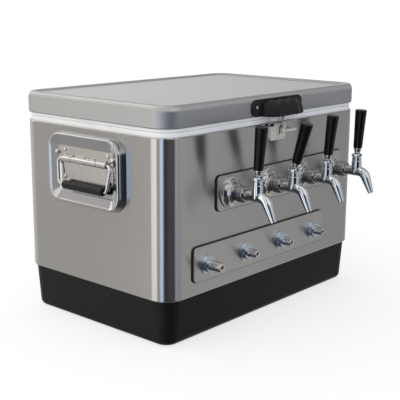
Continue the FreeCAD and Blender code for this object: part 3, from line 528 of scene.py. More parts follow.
clearHose = texturedFinish("clear beer hose", (0.82, 0.84, 0.83), 0.16, spots=60, varied=0.03,
                           grain=(400, 0.00002, 0.1), Transmission_Weight=0.7, IOR=1.5)
print("finishes mixed")

# pieces of the frame whose own shape is right keep it
for finish, names in (
    (brushedSteel, ("body_wrap",)),
    (blackMoulding, ("base_skirt", "drain_fitting", "drain_nut", "drain_cap")),
    (whiteLiner, ("inner_liner", "lid_liner")),
    (foamFill, ("body_foam",)),
    (padRubber, ("faucet_plate_pad", "inlet_plate_pad")),
    (sealRubber, ("lid_gasket",)),
    (clearHose, ("inlet_hoses", "outlet_hoses")),
    (castMetal, ("cold_plate",)),
    (shadedStrikeSteel, ("latch_strike",)),
    (stainless, ("hinge_body_leaves", "hinge_lid_leaves", "hinge_pins")),
):
    for name in names:
        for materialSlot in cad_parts[name].material_slots:
            materialSlot.material = finish
print("kept pieces finished")


# lid

lid = {
    "length": 602, "depth": 393, "corner": 39, "tightest": 4, "low": 394.6, "high": 435,
    "curl": 2.5, "hem": 4.4, "hemRise": 0.8, "edge": 8.5, "roll": 14,
    "border": 15, "slope": 6, "recess": 4.2, "fold": 2.4,
    "sheet": 0.9, "foamLow": 397.9, "plugLow": 383, "plugSize": (512, 303, 22),
}


def lidLoops(row):
    return stacked(lid["length"], lid["depth"], lid["corner"], row, steps=12, tightest=lid["tightest"])


def lidTop(under):
    # the roll over the edge, the border and the slope down to the sunk panel,
    # all a little lower for what lies under the sheet
    high, edge, roll = sizesOf(lid, "high edge roll")
    row = [(edge - (edge - under) * across, high - roll + (roll - under) * up) for across, up in quarter(14)]
    start = lid["border"] - under
    foot, floor = start + lid["slope"], high - lid["recess"] - under
    fold = [(edge + 0.5, high - under), (start, high - under), (foot, floor), (foot + 12, floor)]
    return row + eased(fold, lid["fold"], 6)[1:]


def makeLid():
    low, curl, hem = sizesOf(lid, "low curl hem")
    row = [(hem, low + lid["hemRise"]), (hem, low)]
    row += [(curl - curl * up, low + curl - curl * across) for across, up in quarter(6)]
    return skin(lidLoops(row + lidTop(0)))


def makeLidFoam():
    plug = [(0, lid["plugLow"]), (0, lid["foamLow"])]
    return skin(stacked(*lid["plugSize"], plug, steps=12)
                + lidLoops([(lid["sheet"], lid["foamLow"])] + lidTop(lid["sheet"])))


addPiece("lidSkin", makeLid(), lidSteel, "lid_skin", "lid", onGround)
addPiece("lidFoam", makeLidFoam(), foamFill, "lid_foam", "lid", onGround)
print("lid made")


# plates on the front

plates = {
    "length": 405.2, "height": 65.3, "corner": 8.5, "back": 2.5,
    "edge": ((0.2, 0), (0, 0.2), (0, 0.7), (0.12, 1.05), (0.4, 1.35), (0.8, 1.5)),  # inset, and out
    "middles": {"faucet": (31.4, 266.15), "inlet": (-31.6, 145.15)},
}

for name, (x, height) in plates["middles"].items():
    edge = [(inset, plates["back"] + out) for inset, out in plates["edge"]]
    plate = skin(stacked(plates["length"], plates["height"], plates["corner"], edge, x, height))
    addPiece(f"{name}Plate", plate, plateSteel, f"{name}_plate")
print("plates made")


# taps

taps = {
    "xs": (-135.5, -24.5, 86.5, 197.5), "height": 265.4, "leans": (4, 16, 6, 3),
    "reach": 66,  # from the wall to the column
    "pivot": 31.5,  # of the lever, above the middle of the barrel
}


def inRow(shape, row):
    return joined([moved(shape, shifted(x, row["height"])) for x in row["xs"]])


flange = {"radius": 30, "bore": 11.3, "foot": 4, "rim": 6.6, "neck": 16.6, "top": 20, "bell": 1.15}


def makeFlange():
    radius, bore, foot, rim, neck, top = sizesOf(flange, "radius bore foot rim neck top")
    row = [(bore, foot), (radius - 0.4, foot), (radius, foot + 0.5), (radius, rim - 0.9)]
    row += [(radius - 0.5, rim - 0.2), (radius - 1.4, rim), (radius - 2.2, rim + 0.1)]
    for flat, steep in quarter(12)[1:]:
        # a bell that starts flat at the rim and ends steep at the neck
        across = (radius - 2.4 - neck) * (1 - steep ** flange["bell"])
        row.append((neck + across, rim + 0.2 + (top - 0.8 - rim) * (1 - flat)))
    row += [(neck - 0.6, top), (bore, top)]
    return turned(row, 64, closed=True)


couplingNut = {
    "radius": 15.8, "bore": 10.1, "inner": 14.05, "start": 27, "end": 42.5,
    "lip": 5, "lead": 1.6, "ridges": 2,
    "ridge": ((0.1, 0), (0.1, 0.62), (0.7, 0.72), (0.7, 0.84), (0.1, 0.94)),  # cut, and share of the pitch
}


def makeCouplingNut():
    radius, bore, inner, start, end = sizesOf(couplingNut, "radius bore inner start end")
    body, lead = end - couplingNut["lip"], couplingNut["lead"]
    row = [(inner, start), (radius - 1.1, start), (radius - 0.3, start + 0.6), (radius - 0.1, start + 1.2)]
    pitch = (body - start - lead) / couplingNut["ridges"]
    for n in range(couplingNut["ridges"]):
        here = start + lead + n * pitch
        row += [(radius - cut, here + share * pitch) for cut, share in couplingNut["ridge"]]
    row += [(radius, body), (radius, body + 2.6), (radius - 0.5, body + 3.5), (radius - 1.6, end - 0.6)]
    row += [(radius - 2.8, end), (bore, end), (bore, body), (inner, body)]
    return turned(row, 64, closed=True)


shank = {"radius": 11.1, "bore": 4, "low": -60, "thread": (-59, -39), "collar": 14, "end": 30}


def makeShank():
    radius, bore, low, collar, end = sizesOf(shank, "radius bore low collar end")
    row = [(bore, low), (radius - 0.9, low), (radius, low + 0.8)] + threadProfile(radius, *shank["thread"])
    row += [(radius, shank["thread"][1] + 0.5), (radius, end - 10.4), (collar, end - 10)]
    row += [(collar, end - 0.6), (collar - 0.6, end), (bore, end)]
    return turned(row, closed=True)


faucet = {
    "tail": 12.5, "tailStart": 30, "tailEnd": 37.4, "barrel": 9.7, "waist": 0.35,
    "column": 10.3, "bonnet": 11, "socket": 7.9, "top": 36, "gate": 5.3, "gateLow": 32.4,
    "elbow": 10, "bend": 17.6, "corner": 18.3, "slope": 65.6, "cone": 34, "tip": 5.6,
    "mouth": ((0, 0.82), (0.6, 0.75), (14, 0.75)),  # how deep, and share of the tip's width
}


def makeBarrel():
    tail, start, end, wide = sizesOf(faucet, "tail tailStart tailEnd barrel")
    narrow = wide - faucet["waist"]
    row = [(tail, start), (tail, end), (wide, end), (wide, end + 5.6), (narrow, end + 7.1)]
    row += [(narrow, end + 17.6), (wide, end + 22.6), (wide + 0.2, taps["reach"])]
    return turned(row)


def makeColumn():
    # the turned column and its bonnet, open towards the front for the lever
    column, bonnet, socket, top, half, low = sizesOf(faucet, "column bonnet socket top gate gateLow")
    row = [(0, -4), (column - 2, -4), (column, -2), (column, 20.4), (column - 0.5, 21.4)]
    row += [(column - 1.3, 21.8), (column - 1.3, 22.8), (column - 0.4, 23.4), (column - 0.4, 27.2)]
    row += [(column - 1.6, 27.9), (column - 1.6, 29.2), (bonnet - 1, 30.2), (bonnet, 31), (bonnet, 33.6)]
    row += [(bonnet - 0.6, 34.8), (bonnet - 2.2, top - 0.3), (bonnet - 2, top)]
    row += [(socket, top), (socket, 25), (0, 25)]
    reach = taps["reach"]
    gate = [(-half, low, reach), (half, low, reach), (half, low, reach + 20), (-half, low, reach + 20)]
    opening = skin([gate, [(x, y + 5, z) for x, y, z in gate]])
    return cutAway(moved(turned(row), upright(reach)), opening)


def makeSpout():
    reach, tip, sides, rows = taps["reach"], faucet["tip"], 32, 8
    slope = math.radians(faucet["slope"])
    ahead = Vector((0, -math.sin(slope), math.cos(slope)))
    corner = Vector((0, 0, reach + faucet["corner"]))
    end = corner + ahead * (faucet["bend"] * math.tan(slope / 2) + faucet["cone"])
    path = bentPath([(0, 0, reach - 6), corner, end], faucet["bend"], 16)
    bends = len(path) - 2
    radii = [faucet["barrel"] - 0.2] + [faucet["elbow"] * (1 - 0.03 * k / bends) for k in range(bends)]
    path.pop()
    start, thick = path[-1], radii[-1]
    for k in range(1, rows + 1):
        path.append(start.lerp(end, k / rows))
        radii.append(thick + (tip - thick) * (k / rows))
    points = tube(path, radii, sides)[0]
    loops = [points[first:first + sides] for first in range(0, len(points), sides)]
    rim = loops[-1]
    for deep, share in faucet["mouth"]:
        loops.append([tuple(end - ahead * deep + (Vector(point) - end) * share) for point in rim])
    return skin(loops)


lever = {
    "stem": ((0, 26.5), (3, 27), (5, 31.5), (5, 37.6), (5.6, 38.4), (5.8, 39.6), (6.4, 40.4),
             (6.6, 41.6), (7, 43.2), (7.5, 44.8), (8, 46), (8.3, 47), (8.3, 48.6), (7.9, 49),
             (0, 49)),
    "ball": 6.2, "half": 4, "flat": 0.45,
}
tapHandle = {
    "profile": ((0, 49), (8, 49), (8.75, 49.3), (9, 50), (9.35, 60), (9.8, 75), (10.4, 92),
                (11.1, 110), (11.6, 121), (11.75, 124.6), (11.65, 125.8), (11, 126.6), (10, 127),
                (0, 127)),
}


def leaned(shape, degrees):
    pivot = Vector((0, taps["pivot"], taps["reach"]))
    turn = Matrix.Rotation(math.radians(degrees), 4, "X")
    return moved(shape, Matrix.Translation(pivot) @ turn @ Matrix.Translation(-pivot))


def makeLever(degrees):
    steps = 12
    ball = [(0, -lever["half"])]
    for k in range(1, steps):
        angle = math.radians(-90 + 180 * k / steps)
        ball.append((lever["ball"] * math.cos(angle) ** lever["flat"], lever["half"] * math.sin(angle)))
    ball.append((0, lever["half"]))
    stem = moved(turned(lever["stem"], 40), upright(taps["reach"]))
    return leaned(joined([stem, moved(turned(ball, 32), sideways(taps["pivot"], taps["reach"]))]), degrees)


def makeTapHandle(degrees):
    return leaned(moved(turned(tapHandle["profile"], 56), upright(taps["reach"])), degrees)


lockNut = {"flats": 30, "bore": 11.15, "low": -46, "high": -38}

addPiece("tapFlanges", inRow(makeFlange(), taps), spunSteel, "tap_flanges")
addPiece("tapShanks", inRow(makeShank(), taps), nutSteel, "tap_shanks")
addPiece("couplingNuts", inRow(makeCouplingNut(), taps), nutSteel, "tap_coupling_nuts", edge=0.2)
addPiece("shankLockNuts", inRow(hexNut(**lockNut), taps), zinc, "shank_lock_nuts")
for number, (x, degrees) in enumerate(zip(taps["xs"], taps["leans"]), 1):
    here = onFront(x, taps["height"])
    node = f"tap_{number}"
    body = joined([makeBarrel(), makeColumn(), makeSpout()])
    addPiece(f"faucet{number}", body, chrome, f"{node}_faucet", "chest", here, edge=0.25)
    addPiece(f"lever{number}", makeLever(degrees), chrome, f"{node}_lever", node, here)
    handle = makeTapHandle(degrees)
    addPiece(f"tapHandle{number}", handle, blackHandle, f"{node}_handle", node, here)
print("taps made")


# inlets

inlets = {
    "xs": (-198.5, -87.5, 23.5, 134.5), "height": 142, "radius": 8.6, "bore": 2.75,
    "low": -51, "thread": (-50, -39, 1.4, 0.6), "step": 15.2,
    "ends": (40, 33, 33, 32), "stubs": (9.6, 8.2, 8.2, 8.2), "tips": (8.9, 7.3, 7.3, 7.3),
}
inletWasher = {"bore": 8.9, "radius": 17.5, "low": 4, "high": 6}
inletNut = {"flats": 27, "bore": 8.65, "low": 6, "high": 15}
inletBackNut = {"flats": 24, "bore": 8.65, "low": -45, "high": -38}


def makeInlet(end, stub, tip):
    radius, bore, low, step = sizesOf(inlets, "radius bore low step")
    row = [(bore, low), (radius - 0.8, low), (radius, low + 0.8)] + threadProfile(radius, *inlets["thread"])
    row += [(radius, inlets["thread"][1] + 0.5), (radius, step - 0.8), (stub, step), (stub, step + 1.8)]
    row += [(tip, end - 2.2), (tip - 0.25, end - 0.8), (tip - 1.1, end)]
    row += [(bore + 1.3, end), (bore + 0.5, end - 0.4), (bore, end - 1.6)]
    return turned(row, closed=True)


def makeInletWasher():
    bore, radius, low, high = sizesOf(inletWasher, "bore radius low high")
    row = [(bore, low), (radius - 0.4, low), (radius, low + 0.4), (radius, high - 0.6)]
    row += [(radius - 0.5, high - 0.1), (radius - 1.3, high), (bore, high)]
    return turned(row, 56, closed=True)


stubs = [moved(makeInlet(end, stub, tip), shifted(x, inlets["height"]))
         for x, end, stub, tip in zip(inlets["xs"], inlets["ends"], inlets["stubs"], inlets["tips"])]
addPiece("inletStubs", joined(stubs), stainless, "inlet_fittings")
addPiece("inletWashers", inRow(makeInletWasher(), inlets), zinc, "inlet_washers")
addPiece("inletNuts", inRow(hexNut(**inletNut), inlets), zinc, "inlet_nuts")
addPiece("inletBackNuts", inRow(hexNut(**inletBackNut), inlets), zinc, "inlet_back_nuts")
print("inlets made")


# carrying handles, one on each end

dish = {
    "width": 198, "height": 138, "corner": 33, "tightest": 3, "x": -2, "y": 302,
    "rise": 16.6, "pan": 6,
}
bracket = {
    "low": 272, "step": 309, "high": 343, "lowerWidth": 125, "upperWidth": 157,
    "jog": 3, "corner": 5, "back": 5.9, "face": 7.5,
    "axle": 319.3, "axleOut": 11.7, "barrel": 5.6, "bore": 2.95, "length": 118,
    "shift": -2, "groove": -34,
    "knuckles": ((-46, 24), (-16, 26), (14, 24), (43, 26)),  # middle, and width
    "boss": 5.8, "bossRise": 6.8, "bossIn": 3.2, "bossHeight": 330,
}
bail = {
    "left": 74, "right": 70, "lowLeft": 68, "lowRight": 61, "drop": 48,
    "bend": 8, "wire": 2.75, "tail": 24, "tilt": 4.9,
}
grip = {"radius": 8, "length": 108, "bore": 2.8}
rivets = {"radius": 4.4, "rise": 3, "xs": (-58.5, 58.5), "heights": (336, 286)}


def makeDish():
    # a rounded ridge, then an even slope that runs in under the bracket
    rise, pan = dish["rise"], dish["pan"]
    row = [(0.6, 0), (0, 0.5), (0.4, 2.4), (3.4, rise - 3.6), (4.2, rise - 1.6), (5.4, rise - 0.35)]
    row += [(6.8, rise), (8.2, rise - 0.4), (9.6, rise - 1.5)]
    row += eased([(10.8, rise - 2.4), (27, pan + 0.6), (32, pan), (44, pan)], 5, 7)
    size = (dish["width"], dish["height"], dish["corner"])
    return skin(stacked(*size, row, dish["x"], dish["y"], steps=14, tightest=dish["tightest"]))


def bracketOutline():
    wide, narrow = bracket["upperWidth"] / 2, bracket["lowerWidth"] / 2
    low, step, high, jog = sizesOf(bracket, "low step high jog")
    right = [(0, low), (narrow, low), (narrow, step - jog), (narrow + jog, step)]
    right += [(wide, step), (wide, high), (0, high)]
    half = eased(right, bracket["corner"])[1:-1]
    return [(x + bracket["shift"], y) for x, y in half + [(-x, y) for x, y in reversed(half)]]


def makeBracket():
    radius, bore, face, axle, out = sizesOf(bracket, "barrel bore face axle axleOut")
    half, groove = bracket["length"] / 2, bracket["groove"]
    row = [(bore, -half), (radius - 0.5, -half), (radius, -half + 0.5), (radius, groove - 1.2)]
    row += [(radius - 1.6, groove - 0.7), (radius - 1.6, groove + 0.7), (radius, groove + 1.2)]
    barrel = moved(turned(mirrored(row), 40, closed=True), sideways(axle, out))
    pieces = [prism(bracketOutline(), bracket["back"], face), barrel]
    top = axle + radius
    knuckle = [(face - 0.6, top + 3.4), (face + 1.4, top + 2.2), (out, top - 0.1), (out, top - 2.4)]
    knuckle += [(face - 0.6, top - 6)]
    pieces += [prismAlongX(knuckle, wide, x) for x, wide in bracket["knuckles"]]
    for side in (-1, 1):
        # a boss at each lower corner of the upper plate, where it is drawn over the bail
        x = side * (bracket["upperWidth"] / 2 - bracket["bossIn"]) + bracket["shift"]
        pieces.append(rivetHead(bracket["boss"], bracket["bossRise"], face - 0.2, x, bracket["bossHeight"]))
    return joined(pieces)


def bailPlace():
    lift = Matrix.Translation((0, bracket["axle"], bracket["axleOut"]))
    return lift @ Matrix.Rotation(math.radians(-bail["tilt"]), 4, "X")


def makeBail():
    left, right, drop, bend = sizesOf(bail, "left right drop bend")
    tail = right - bend - bail["tail"]
    corners = [(tail, 0, 0), (right, 0, 0), (bail["lowRight"], -drop, 0)]
    corners += [(-bail["lowLeft"], -drop, 0), (-left, 0, 0), (-tail, 0, 0)]
    return moved(tube(bentPath(corners, bend, 12), bail["wire"]), bailPlace())


def makeGrip():
    half, radius, bore = grip["length"] / 2, grip["radius"], grip["bore"]
    row = [(bore, -half), (radius - 2.6, -half), (radius - 0.9, -half + 0.6), (radius - 0.15, -half + 2.2)]
    row = mirrored(row + [(radius, -half + 5)])[:-1]
    row += [(bore + 1.6, half), (bore + 1.4, half - 2), (bore, half - 2)]
    return moved(moved(turned(row, closed=True), sideways(-bail["drop"], 0)), bailPlace())


heads = []
for side, place in (("left", onLeft()), ("right", onRight())):
    swing = f"{side}_bail"
    addPiece(f"{side}Dish", makeDish(), pressedSteel, f"{side}_handle_dish", place=place)
    addPiece(f"{side}Bracket", makeBracket(), nickel, f"{side}_handle_bracket", place=place,
             edge=0.35)
    addPiece(f"{side}Bail", makeBail(), brightWire, swing, swing, place)
    addPiece(f"{side}Grip", makeGrip(), blackGrip, f"{side}_grip", swing, place)
    for height in rivets["heights"]:
        for x in rivets["xs"]:
            head = rivetHead(rivets["radius"], rivets["rise"], bracket["face"] - 0.1, x, height)
            heads.append(moved(head, place))
addPiece("rivets", joined(heads), nickel, "handle_rivets", place=Matrix.Identity(4))
print("carrying handles made")


# lid handle

lidHandle = {
    "x": 4, "width": 157.5, "low": 395.2, "high": 428, "corner": 14, "back": 1, "face": 5,
    "edge": ((0, 0), (0, 2.6), (0.25, 3.3), (0.8, 3.8), (1.7, 4)),  # inset, and out
    "left": 52, "right": 61, "leftFull": 2.7, "rightFull": 4.6, "wall": 3,
    "fingers": 4, "pitch": 28.5, "shift": 2, "depth": 4, "dip": 2.2, "dipFrom": 412,
    "screws": (-65, 65), "screwHeight": 413,
    # height, reach and how much the ends draw in, from the mouth of the cup up to its roof
    "cup": ((395.2, 31, 0.6), (395.9, 31.8, 0), (400, 31.4, 0.2), (406, 30.2, 0.8),
            (411.5, 28.6, 1.7), (416, 26.6, 2.8), (419.5, 24.2, 4.2), (422, 21.4, 6),
            (423.6, 18, 8.2), (424.6, 14, 11), (425.2, 9.5, 14.5), (425.4, 6, 18)),
}


def cupLoop(level, reach, drawn, grooved=True):
    # the cup's outline at one height, seen from above, with a hollow for each finger
    shift, pitch, fingers, depth, dip = sizesOf(lidHandle, "shift pitch fingers depth dip")
    back, first = lidHandle["face"] - 1.5, shift - (fingers - 1) * pitch / 2
    steps, deepest, fade = 96, 27, 10  # where a hollow is at its full depth, and how fast its dip comes in
    loop = []
    for k in range(steps + 1):
        along = math.sin(math.radians(-90 + 180 * k / steps))
        side = "left" if along < 0 else "right"
        full = lidHandle[side + "Full"]
        x = along * (lidHandle[side] - drawn)
        out = back + (reach - back) * max(1 - abs(along) ** full, 0) ** (1 / full)
        up = level
        if grooved:
            nearest = min(abs(x - first - n * pitch) for n in range(fingers))
            hollow = max(0, math.cos(math.pi * nearest / pitch)) ** 0.9
            out -= depth * hollow * (out - back) / deepest
            up -= dip * hollow * min(max(level - lidHandle["dipFrom"], 0) / fade, 1)
        loop.append((lidHandle["x"] + x, up, out))
    return loop


def makeCup():
    # the inside follows the outside a wall further in
    wall, rows = lidHandle["wall"], lidHandle["cup"]
    inner = [(level - wall, max(reach - wall, 6), drawn + wall) for level, reach, drawn in rows[2:9]]
    loops = [cupLoop(*row, False) for row in reversed(inner)]
    loops += [cupLoop(rows[0][0], rows[0][1] - wall + 0.8, wall - 0.8, False)]
    return skin(loops + [cupLoop(*row) for row in rows])


def makeLidHandleFlange():
    low, high = lidHandle["low"], lidHandle["high"]
    edge = [(inset, lidHandle["back"] + out) for inset, out in lidHandle["edge"]]
    size = (lidHandle["width"], high - low, lidHandle["corner"])
    return skin(stacked(*size, edge, lidHandle["x"], (high + low) / 2, steps=10))


lidHandleShape = joined([makeLidHandleFlange(), makeCup()])
addPiece("lidHandle", lidHandleShape, satinMoulding, "lid_handle", "lid", sharp=50)
screwHeads = [screwHead(3.5, 1.6, lidHandle["face"], lidHandle["x"] + x, lidHandle["screwHeight"])
              for x in lidHandle["screws"]]
addPiece("lidHandleScrews", joined(screwHeads), nickel, "lid_handle_screws", "lid")
print("lid handle made")


# latch

latch = {
    "x": 19, "y": 363, "left": -21.5, "right": 34, "low": 345, "high": 377, "sheet": 1.5,
    "chamfer": 9, "fold": 7, "foldLow": 1, "foldHigh": 5, "stud": 3,
    "eye": (6.5, 8.6, 3.4, 1.1),  # from the left edge, half width, half height and wire
    # sizes of the black painted-shade pieces: a disc behind the rotor's slot, a pad inside the eye and a
    # strip beside the fold
    "shadeDisc": 12.4, "eyeShadeBed": (15.4, 5.4, 2.2), "gapShade": 1.8,
    "rotor": 13.4, "back": 2, "front": 4.8, "hub": 5.5, "hubTop": 9.8,
    "slot": 2.9, "circle": 8.7, "sweep": 120, "blade": 40, "bladeThick": 4, "bladeOut": 11,
    "screws": (-13.5, 26), "screwHeight": 349.5,
}


def makeLatchPlate():
    left, right, low, high, sheet, cut, fold = sizesOf(latch, "left right low high sheet chamfer fold")
    corners = [(0, low), (right, low), (right, high), (left, high), (left, low + cut), (left + cut, low)]
    plate = prism(eased(corners + [(0, low)], 3, 4)[:-1], 0, sheet)
    earLow, earHigh = low + cut + latch["foldLow"], high - latch["foldHigh"]
    ear = [(0.2, earLow), (fold - 2.2, earLow), (fold, earLow + 3)]
    ear += [(fold, earHigh - 3), (fold - 2.2, earHigh), (0.2, earHigh)]
    # the fold carries on along the cut corner
    top, foot = (left + 0.8, earLow), (left + cut, low + 0.8)
    slant = [(top, 0.2), (top, fold - 2.2), (foot, fold - 3.6), (foot, 0.2)]
    side = skin([[(x + shift, y + shift, out) for (x, y), out in slant] for shift in (0, 1.1)])
    stud = turned([(latch["stud"], 0.5), (latch["stud"], 8.2), (latch["stud"] - 0.4, 8.5), (0, 8.5)], 32)
    ear = prismAlongX(ear, sheet, left + sheet / 2)
    return joined([plate, ear, side, moved(stud, shifted(latch["x"], latch["y"]))])


def swollen(value, power):
    return math.copysign(abs(value) ** power, value)


def makeLatchEye():
    # a flat wire eye along the top edge of the plate
    fromLeft, halfWidth, halfHeight, wire = latch["eye"]
    middle, height, out = latch["left"] + fromLeft, latch["high"] - 0.4, 4.6
    path, steps = [], 32
    for k in range(steps + 1):
        angle = math.tau * k / steps
        path.append((middle + halfWidth * swollen(math.cos(angle), 0.5),
                     height + halfHeight * swollen(math.sin(angle), 0.8), out))
    stem = [(middle, height - 3.2, out), (middle, height - 4.2, 3), (middle, height - 6, 1)]
    return joined([tube(path, wire, 16), tube(stem, wire + 0.1, 16)])


def makePaintedLatchShade():
    # black pieces of painted shade where only shade falls: a disc behind the rotor's slot and a pad inside
    # the eye
    shadeDisc = turned([(0, 1.3), (latch["shadeDisc"], 1.3), (latch["shadeDisc"], 1.9), (0, 1.9)], 40)
    middle, height = latch["left"] + latch["eye"][0], latch["high"] - 0.4
    eyeShade = skin([roundedLoop(*latch["eyeShadeBed"], out, middle, height, 4) for out in (0.4, 3.9)])
    # a black strip of painted shade in the space between the plate and its folded edge
    earHigh = latch["high"] - latch["foldHigh"]
    tall = earHigh - latch["low"] - latch["chamfer"] - 2 * latch["foldLow"]
    gapShade = skin([roundedLoop(latch["gapShade"], tall, 0.6, out, latch["left"] + 2.6, earHigh - tall / 2, 3)
                for out in (1, 1.75)])
    return joined([moved(shadeDisc, shifted(latch["x"], latch["y"])), eyeShade, gapShade])


def arcPoints(radius, start, end, steps, x=0, y=0):
    angles = [math.radians(start + (end - start) * k / steps) for k in range(steps + 1)]
    return [(x + radius * math.cos(angle), y + radius * math.sin(angle)) for angle in angles]


def makeRotor():
    # a disc cut open by a curved slot that runs in from its rim, with a hub and a thumb blade
    radius, slot, around, sweep = sizesOf(latch, "rotor slot circle sweep")
    gate = math.degrees(math.asin(slot / radius))
    last = math.radians(90 + sweep)
    outline = arcPoints(radius, 90 + gate, 450 - gate, 60)
    outline += arcPoints(slot, 0, -90, 8, 0, around)
    outline += arcPoints(around - slot, 90, 90 + sweep, 20)[1:]
    slotEnd = (around * math.cos(last), around * math.sin(last))
    outline += arcPoints(slot, 270 + sweep, 90 + sweep, 10, *slotEnd)[1:-1]
    outline += [point for point in arcPoints(around + slot, 90 + sweep, 90, 24) if point[0] < -slot - 0.05]
    disc = prism(outline, latch["back"], latch["front"])
    front, hub, top = sizesOf(latch, "front hub hubTop")
    bore = latch["stud"] + 0.1
    row = [(bore, front - 0.5), (hub, front - 0.5), (hub, top - 0.8), (hub - 0.8, top), (bore, top)]
    boss = turned(row, 40, closed=True)
    cap = turned([(0, 8.8), (3.2, 8.8), (3.2, top - 0.2), (2.6, top), (0, top)], 32)
    half, low, out, tip = latch["bladeThick"] / 2, front - 0.4, front + latch["bladeOut"], latch["blade"]
    side = [(0, low), (0, out - 3), (5, out), (tip - 7, out), (tip, out - 7), (tip, low + 3), (tip - 4, low)]
    blade = skin([[(x, y, z) for x, z in eased(side, 3)] for y in (-half, half)])
    return joined([disc, boss, cap, blade])


addPiece("latchPlate", makeLatchPlate(), satinNickel, "latch_plate", edge=0.3)
addPiece("latchEye", makeLatchEye(), brightWire)
# black pieces that paint the shade behind the rotor's slot, inside the eye and beside the fold
addPiece("latchPaintedShade", makePaintedLatchShade(), padRubber)
turnedAbout = onFront(latch["x"], latch["y"])
addPiece("latchRotor", makeRotor(), satinNickel, "latch_lever", "latch", turnedAbout, edge=0.3)
latchScrewHeads = [screwHead(2, 1.2, latch["sheet"], x, latch["screwHeight"]) for x in latch["screws"]]
addPiece("latchScrews", joined(latchScrewHeads), nickel, "latch_screws")
print("latch made")


# floor, light and camera

floorLook = {"reach": 9, "lit": (0.9, 0.9, 0.9), "seen": (0.4, 0.4, 0.4), "glow": 0.68}


def makeFloor():
    reach = floorLook["reach"]
    mesh = bpy.data.meshes.new("floor")
    corners = [(-reach, -reach, 0), (reach, -reach, 0), (reach, reach, 0), (-reach, reach, 0)]
    mesh.from_pydata(corners, [], [(0, 1, 2, 3)])
    floor = bpy.data.objects.new("floor", mesh)
    bpy.context.scene.collection.objects.link(floor)
    finish, tree, shader = newFinish("white studio floor", floorLook["lit"], 0.9, Specular_IOR_Level=0)
    path = tree.nodes.new("ShaderNodeLightPath").outputs
    seen = mathNode(tree, "MAXIMUM", path["Is Camera Ray"], path["Is Transmission Ray"])
    tree.links.new(blend(tree, seen, floorLook["lit"], floorLook["seen"]), shader.inputs["Base Color"])
    shader.inputs["Emission Color"].default_value = (1, 1, 1, 1)
    tree.links.new(mathNode(tree, "MULTIPLY", seen, floorLook["glow"]), shader.inputs["Emission Strength"])
    mesh.materials.append(finish)
    floor.visible_glossy = False


# what polished metal sees round the studio: a grey or a colour by direction, in degrees from +x towards +y
seam = -120
levelPanels = (
    (seam, 0.02), (-90, (0.02, 0.02, 0.025)), (-87, (0.45, 0.55, 0.68)), (-77, (0.48, 0.56, 0.68)),
    (-74, (0.42, 0.42, 0.43)), (-43, 0.5), (-32, (0.34, 0.34, 0.35)), (-15, (0.38, 0.38, 0.39)), (10, 0.5),
    (30, (0.56, 0.56, 0.57)), (38, (0.74, 0.74, 0.77)), (55, (0.76, 0.76, 0.79)), (100, (0.75, 0.74, 0.72)),
    (127, (0.51, 0.495, 0.465)), (132, (0.52, 0.505, 0.475)), (137, (0.58, 0.56, 0.53)),
    (145, (1.35, 1.31, 1.22)), (169, (1.5, 1.45, 1.36)), (175, 0.42), (188, (0.42, 0.43, 0.45)),
    (191, (0.93, 1.15, 1.5)), (206, (0.93, 1.15, 1.5)), (210, (0.02, 0.02, 0.025)),
)
highPanels = (
    (seam, (0.85, 0.88, 0.9)), (-60, (0.8, 0.81, 0.82)), (-45, (0.38, 0.38, 0.39)), (-35, (0.32, 0.32, 0.33)),
    (12, (0.36, 0.36, 0.37)), (24, (0.42, 0.42, 0.43)), (41, (0.5, 0.5, 0.51)), (50, 0.7),
    (60, (0.7, 0.7, 0.71)), (82, (0.72, 0.71, 0.7)), (90, (1.75, 1.72, 1.65)), (117, (1.75, 1.72, 1.65)),
    (122, (0.62, 0.6, 0.58)), (138, (0.62, 0.6, 0.58)), (147, (1.1, 1.07, 1)), (169, (1.1, 1.07, 1)),
    (180, (0.6, 0.6, 0.61)), (205, (0.85, 0.88, 0.95)), (210, (0.95, 1, 1.05)), (217, 0.02), (243, 0.02),
    (248, (0.75, 0.78, 0.8)),
)
lowPanels = (
    (seam, 0.05), (-44, 0.05), (-30, 0.5), (0, 0.85), (60, 0.85),
    (90, (0.42, 0.41, 0.4)), (190, (0.38, 0.37, 0.36)), (202, 0.05),
)
studio = {
    "above": (0.16, 0.28), "below": (-0.36, -0.5),  # how steeply up or down the other panels take over
    "coldSky": (0.52, 0.56, 0.66), "warmSky": (1.22, 1.2, 1.16),
}


def panelRamp(tree, share, panels):
    ramp = tree.nodes.new("ShaderNodeValToRGB")
    tree.links.new(share, ramp.inputs[0])
    stops = ramp.color_ramp.elements
    for degrees, colour in panels:
        rgb = colour if isinstance(colour, tuple) else (colour,) * 3
        if degrees == seam:
            stops[0].position, stops[0].color = 0, (*rgb, 1)
            stops[1].position, stops[1].color = 1, (*rgb, 1)
        else:
            stops.new((degrees - seam) / 360).color = (*rgb, 1)
    return ramp.outputs[0]


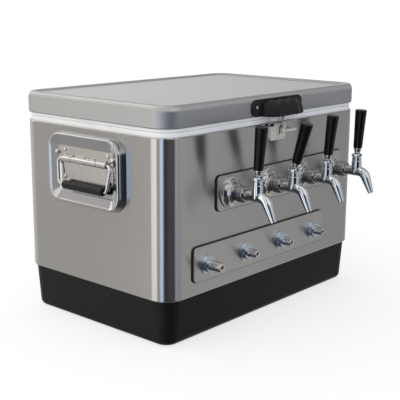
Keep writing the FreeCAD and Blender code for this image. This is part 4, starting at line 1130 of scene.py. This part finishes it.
def makeWorld():
    world = bpy.data.worlds.new("studio")
    bpy.context.scene.world = world
    world.use_nodes = True
    tree = world.node_tree
    around = tree.nodes.new("ShaderNodeTexCoord").outputs["Generated"]
    fromSeam = tree.nodes.new("ShaderNodeMapping")
    fromSeam.inputs["Rotation"].default_value = (0, 0, math.radians(-180 - seam))
    tree.links.new(around, fromSeam.inputs["Vector"])
    right, back, up = axesOf(tree, fromSeam.outputs[0])
    share = mathNode(tree, "MULTIPLY_ADD", mathNode(tree, "ARCTAN2", back, right), 1 / math.tau, 0.5)
    level, high, low = [panelRamp(tree, share, panels) for panels in (levelPanels, highPanels, lowPanels)]
    room = blend(tree, spread(tree, up, *studio["above"]), level, high)
    room = blend(tree, spread(tree, up, *studio["below"]), room, low)
    # soft daylight for everything that isn't a reflection, a little warmer and stronger from the left
    sides = axesOf(tree, around)
    leftward = mathNode(tree, "SUBTRACT", sides["Y"], sides["X"])
    sky = blend(tree, spread(tree, leftward, -1, 1), studio["coldSky"], studio["warmSky"])
    path = tree.nodes.new("ShaderNodeLightPath").outputs
    lit = blend(tree, path["Is Glossy Ray"], sky, room)
    seen = blend(tree, path["Is Camera Ray"], lit, (1, 1, 1))
    tree.links.new(seen, tree.nodes["Background"].inputs["Color"])


standpoint = {
    "place": (-1.350961, -1.194072, 0.611101), "yaw": 48.6776, "pitch": 12.9654,
    "roll": 0.006,  # in radians, the others in degrees
    "lens": 78.96, "sensor": 36, "clipStart": 0.05,
}


def makeCamera():
    yaw, pitch, roll = math.radians(standpoint["yaw"]), math.radians(standpoint["pitch"]), standpoint["roll"]
    ahead = Vector((math.sin(yaw) * math.cos(pitch), math.cos(yaw) * math.cos(pitch), -math.sin(pitch)))
    right = Vector((math.cos(yaw), -math.sin(yaw), 0))
    up = right.cross(ahead)
    across = right * math.cos(roll) + up * math.sin(roll)
    above = up * math.cos(roll) - right * math.sin(roll)
    lens = bpy.data.cameras.new("camera")
    lens.sensor_width = standpoint["sensor"]
    lens.lens = standpoint["lens"]
    lens.clip_start = standpoint["clipStart"]
    camera = bpy.data.objects.new("camera", lens)
    bpy.context.scene.collection.objects.link(camera)
    turn = Matrix((across, above, -ahead)).transposed().to_4x4()
    camera.matrix_world = Matrix.Translation(standpoint["place"]) @ turn
    bpy.context.scene.camera = camera


makeFloor()
makeWorld()
makeCamera()
bpy.context.scene.view_settings.view_transform = "Standard"
print("studio set")
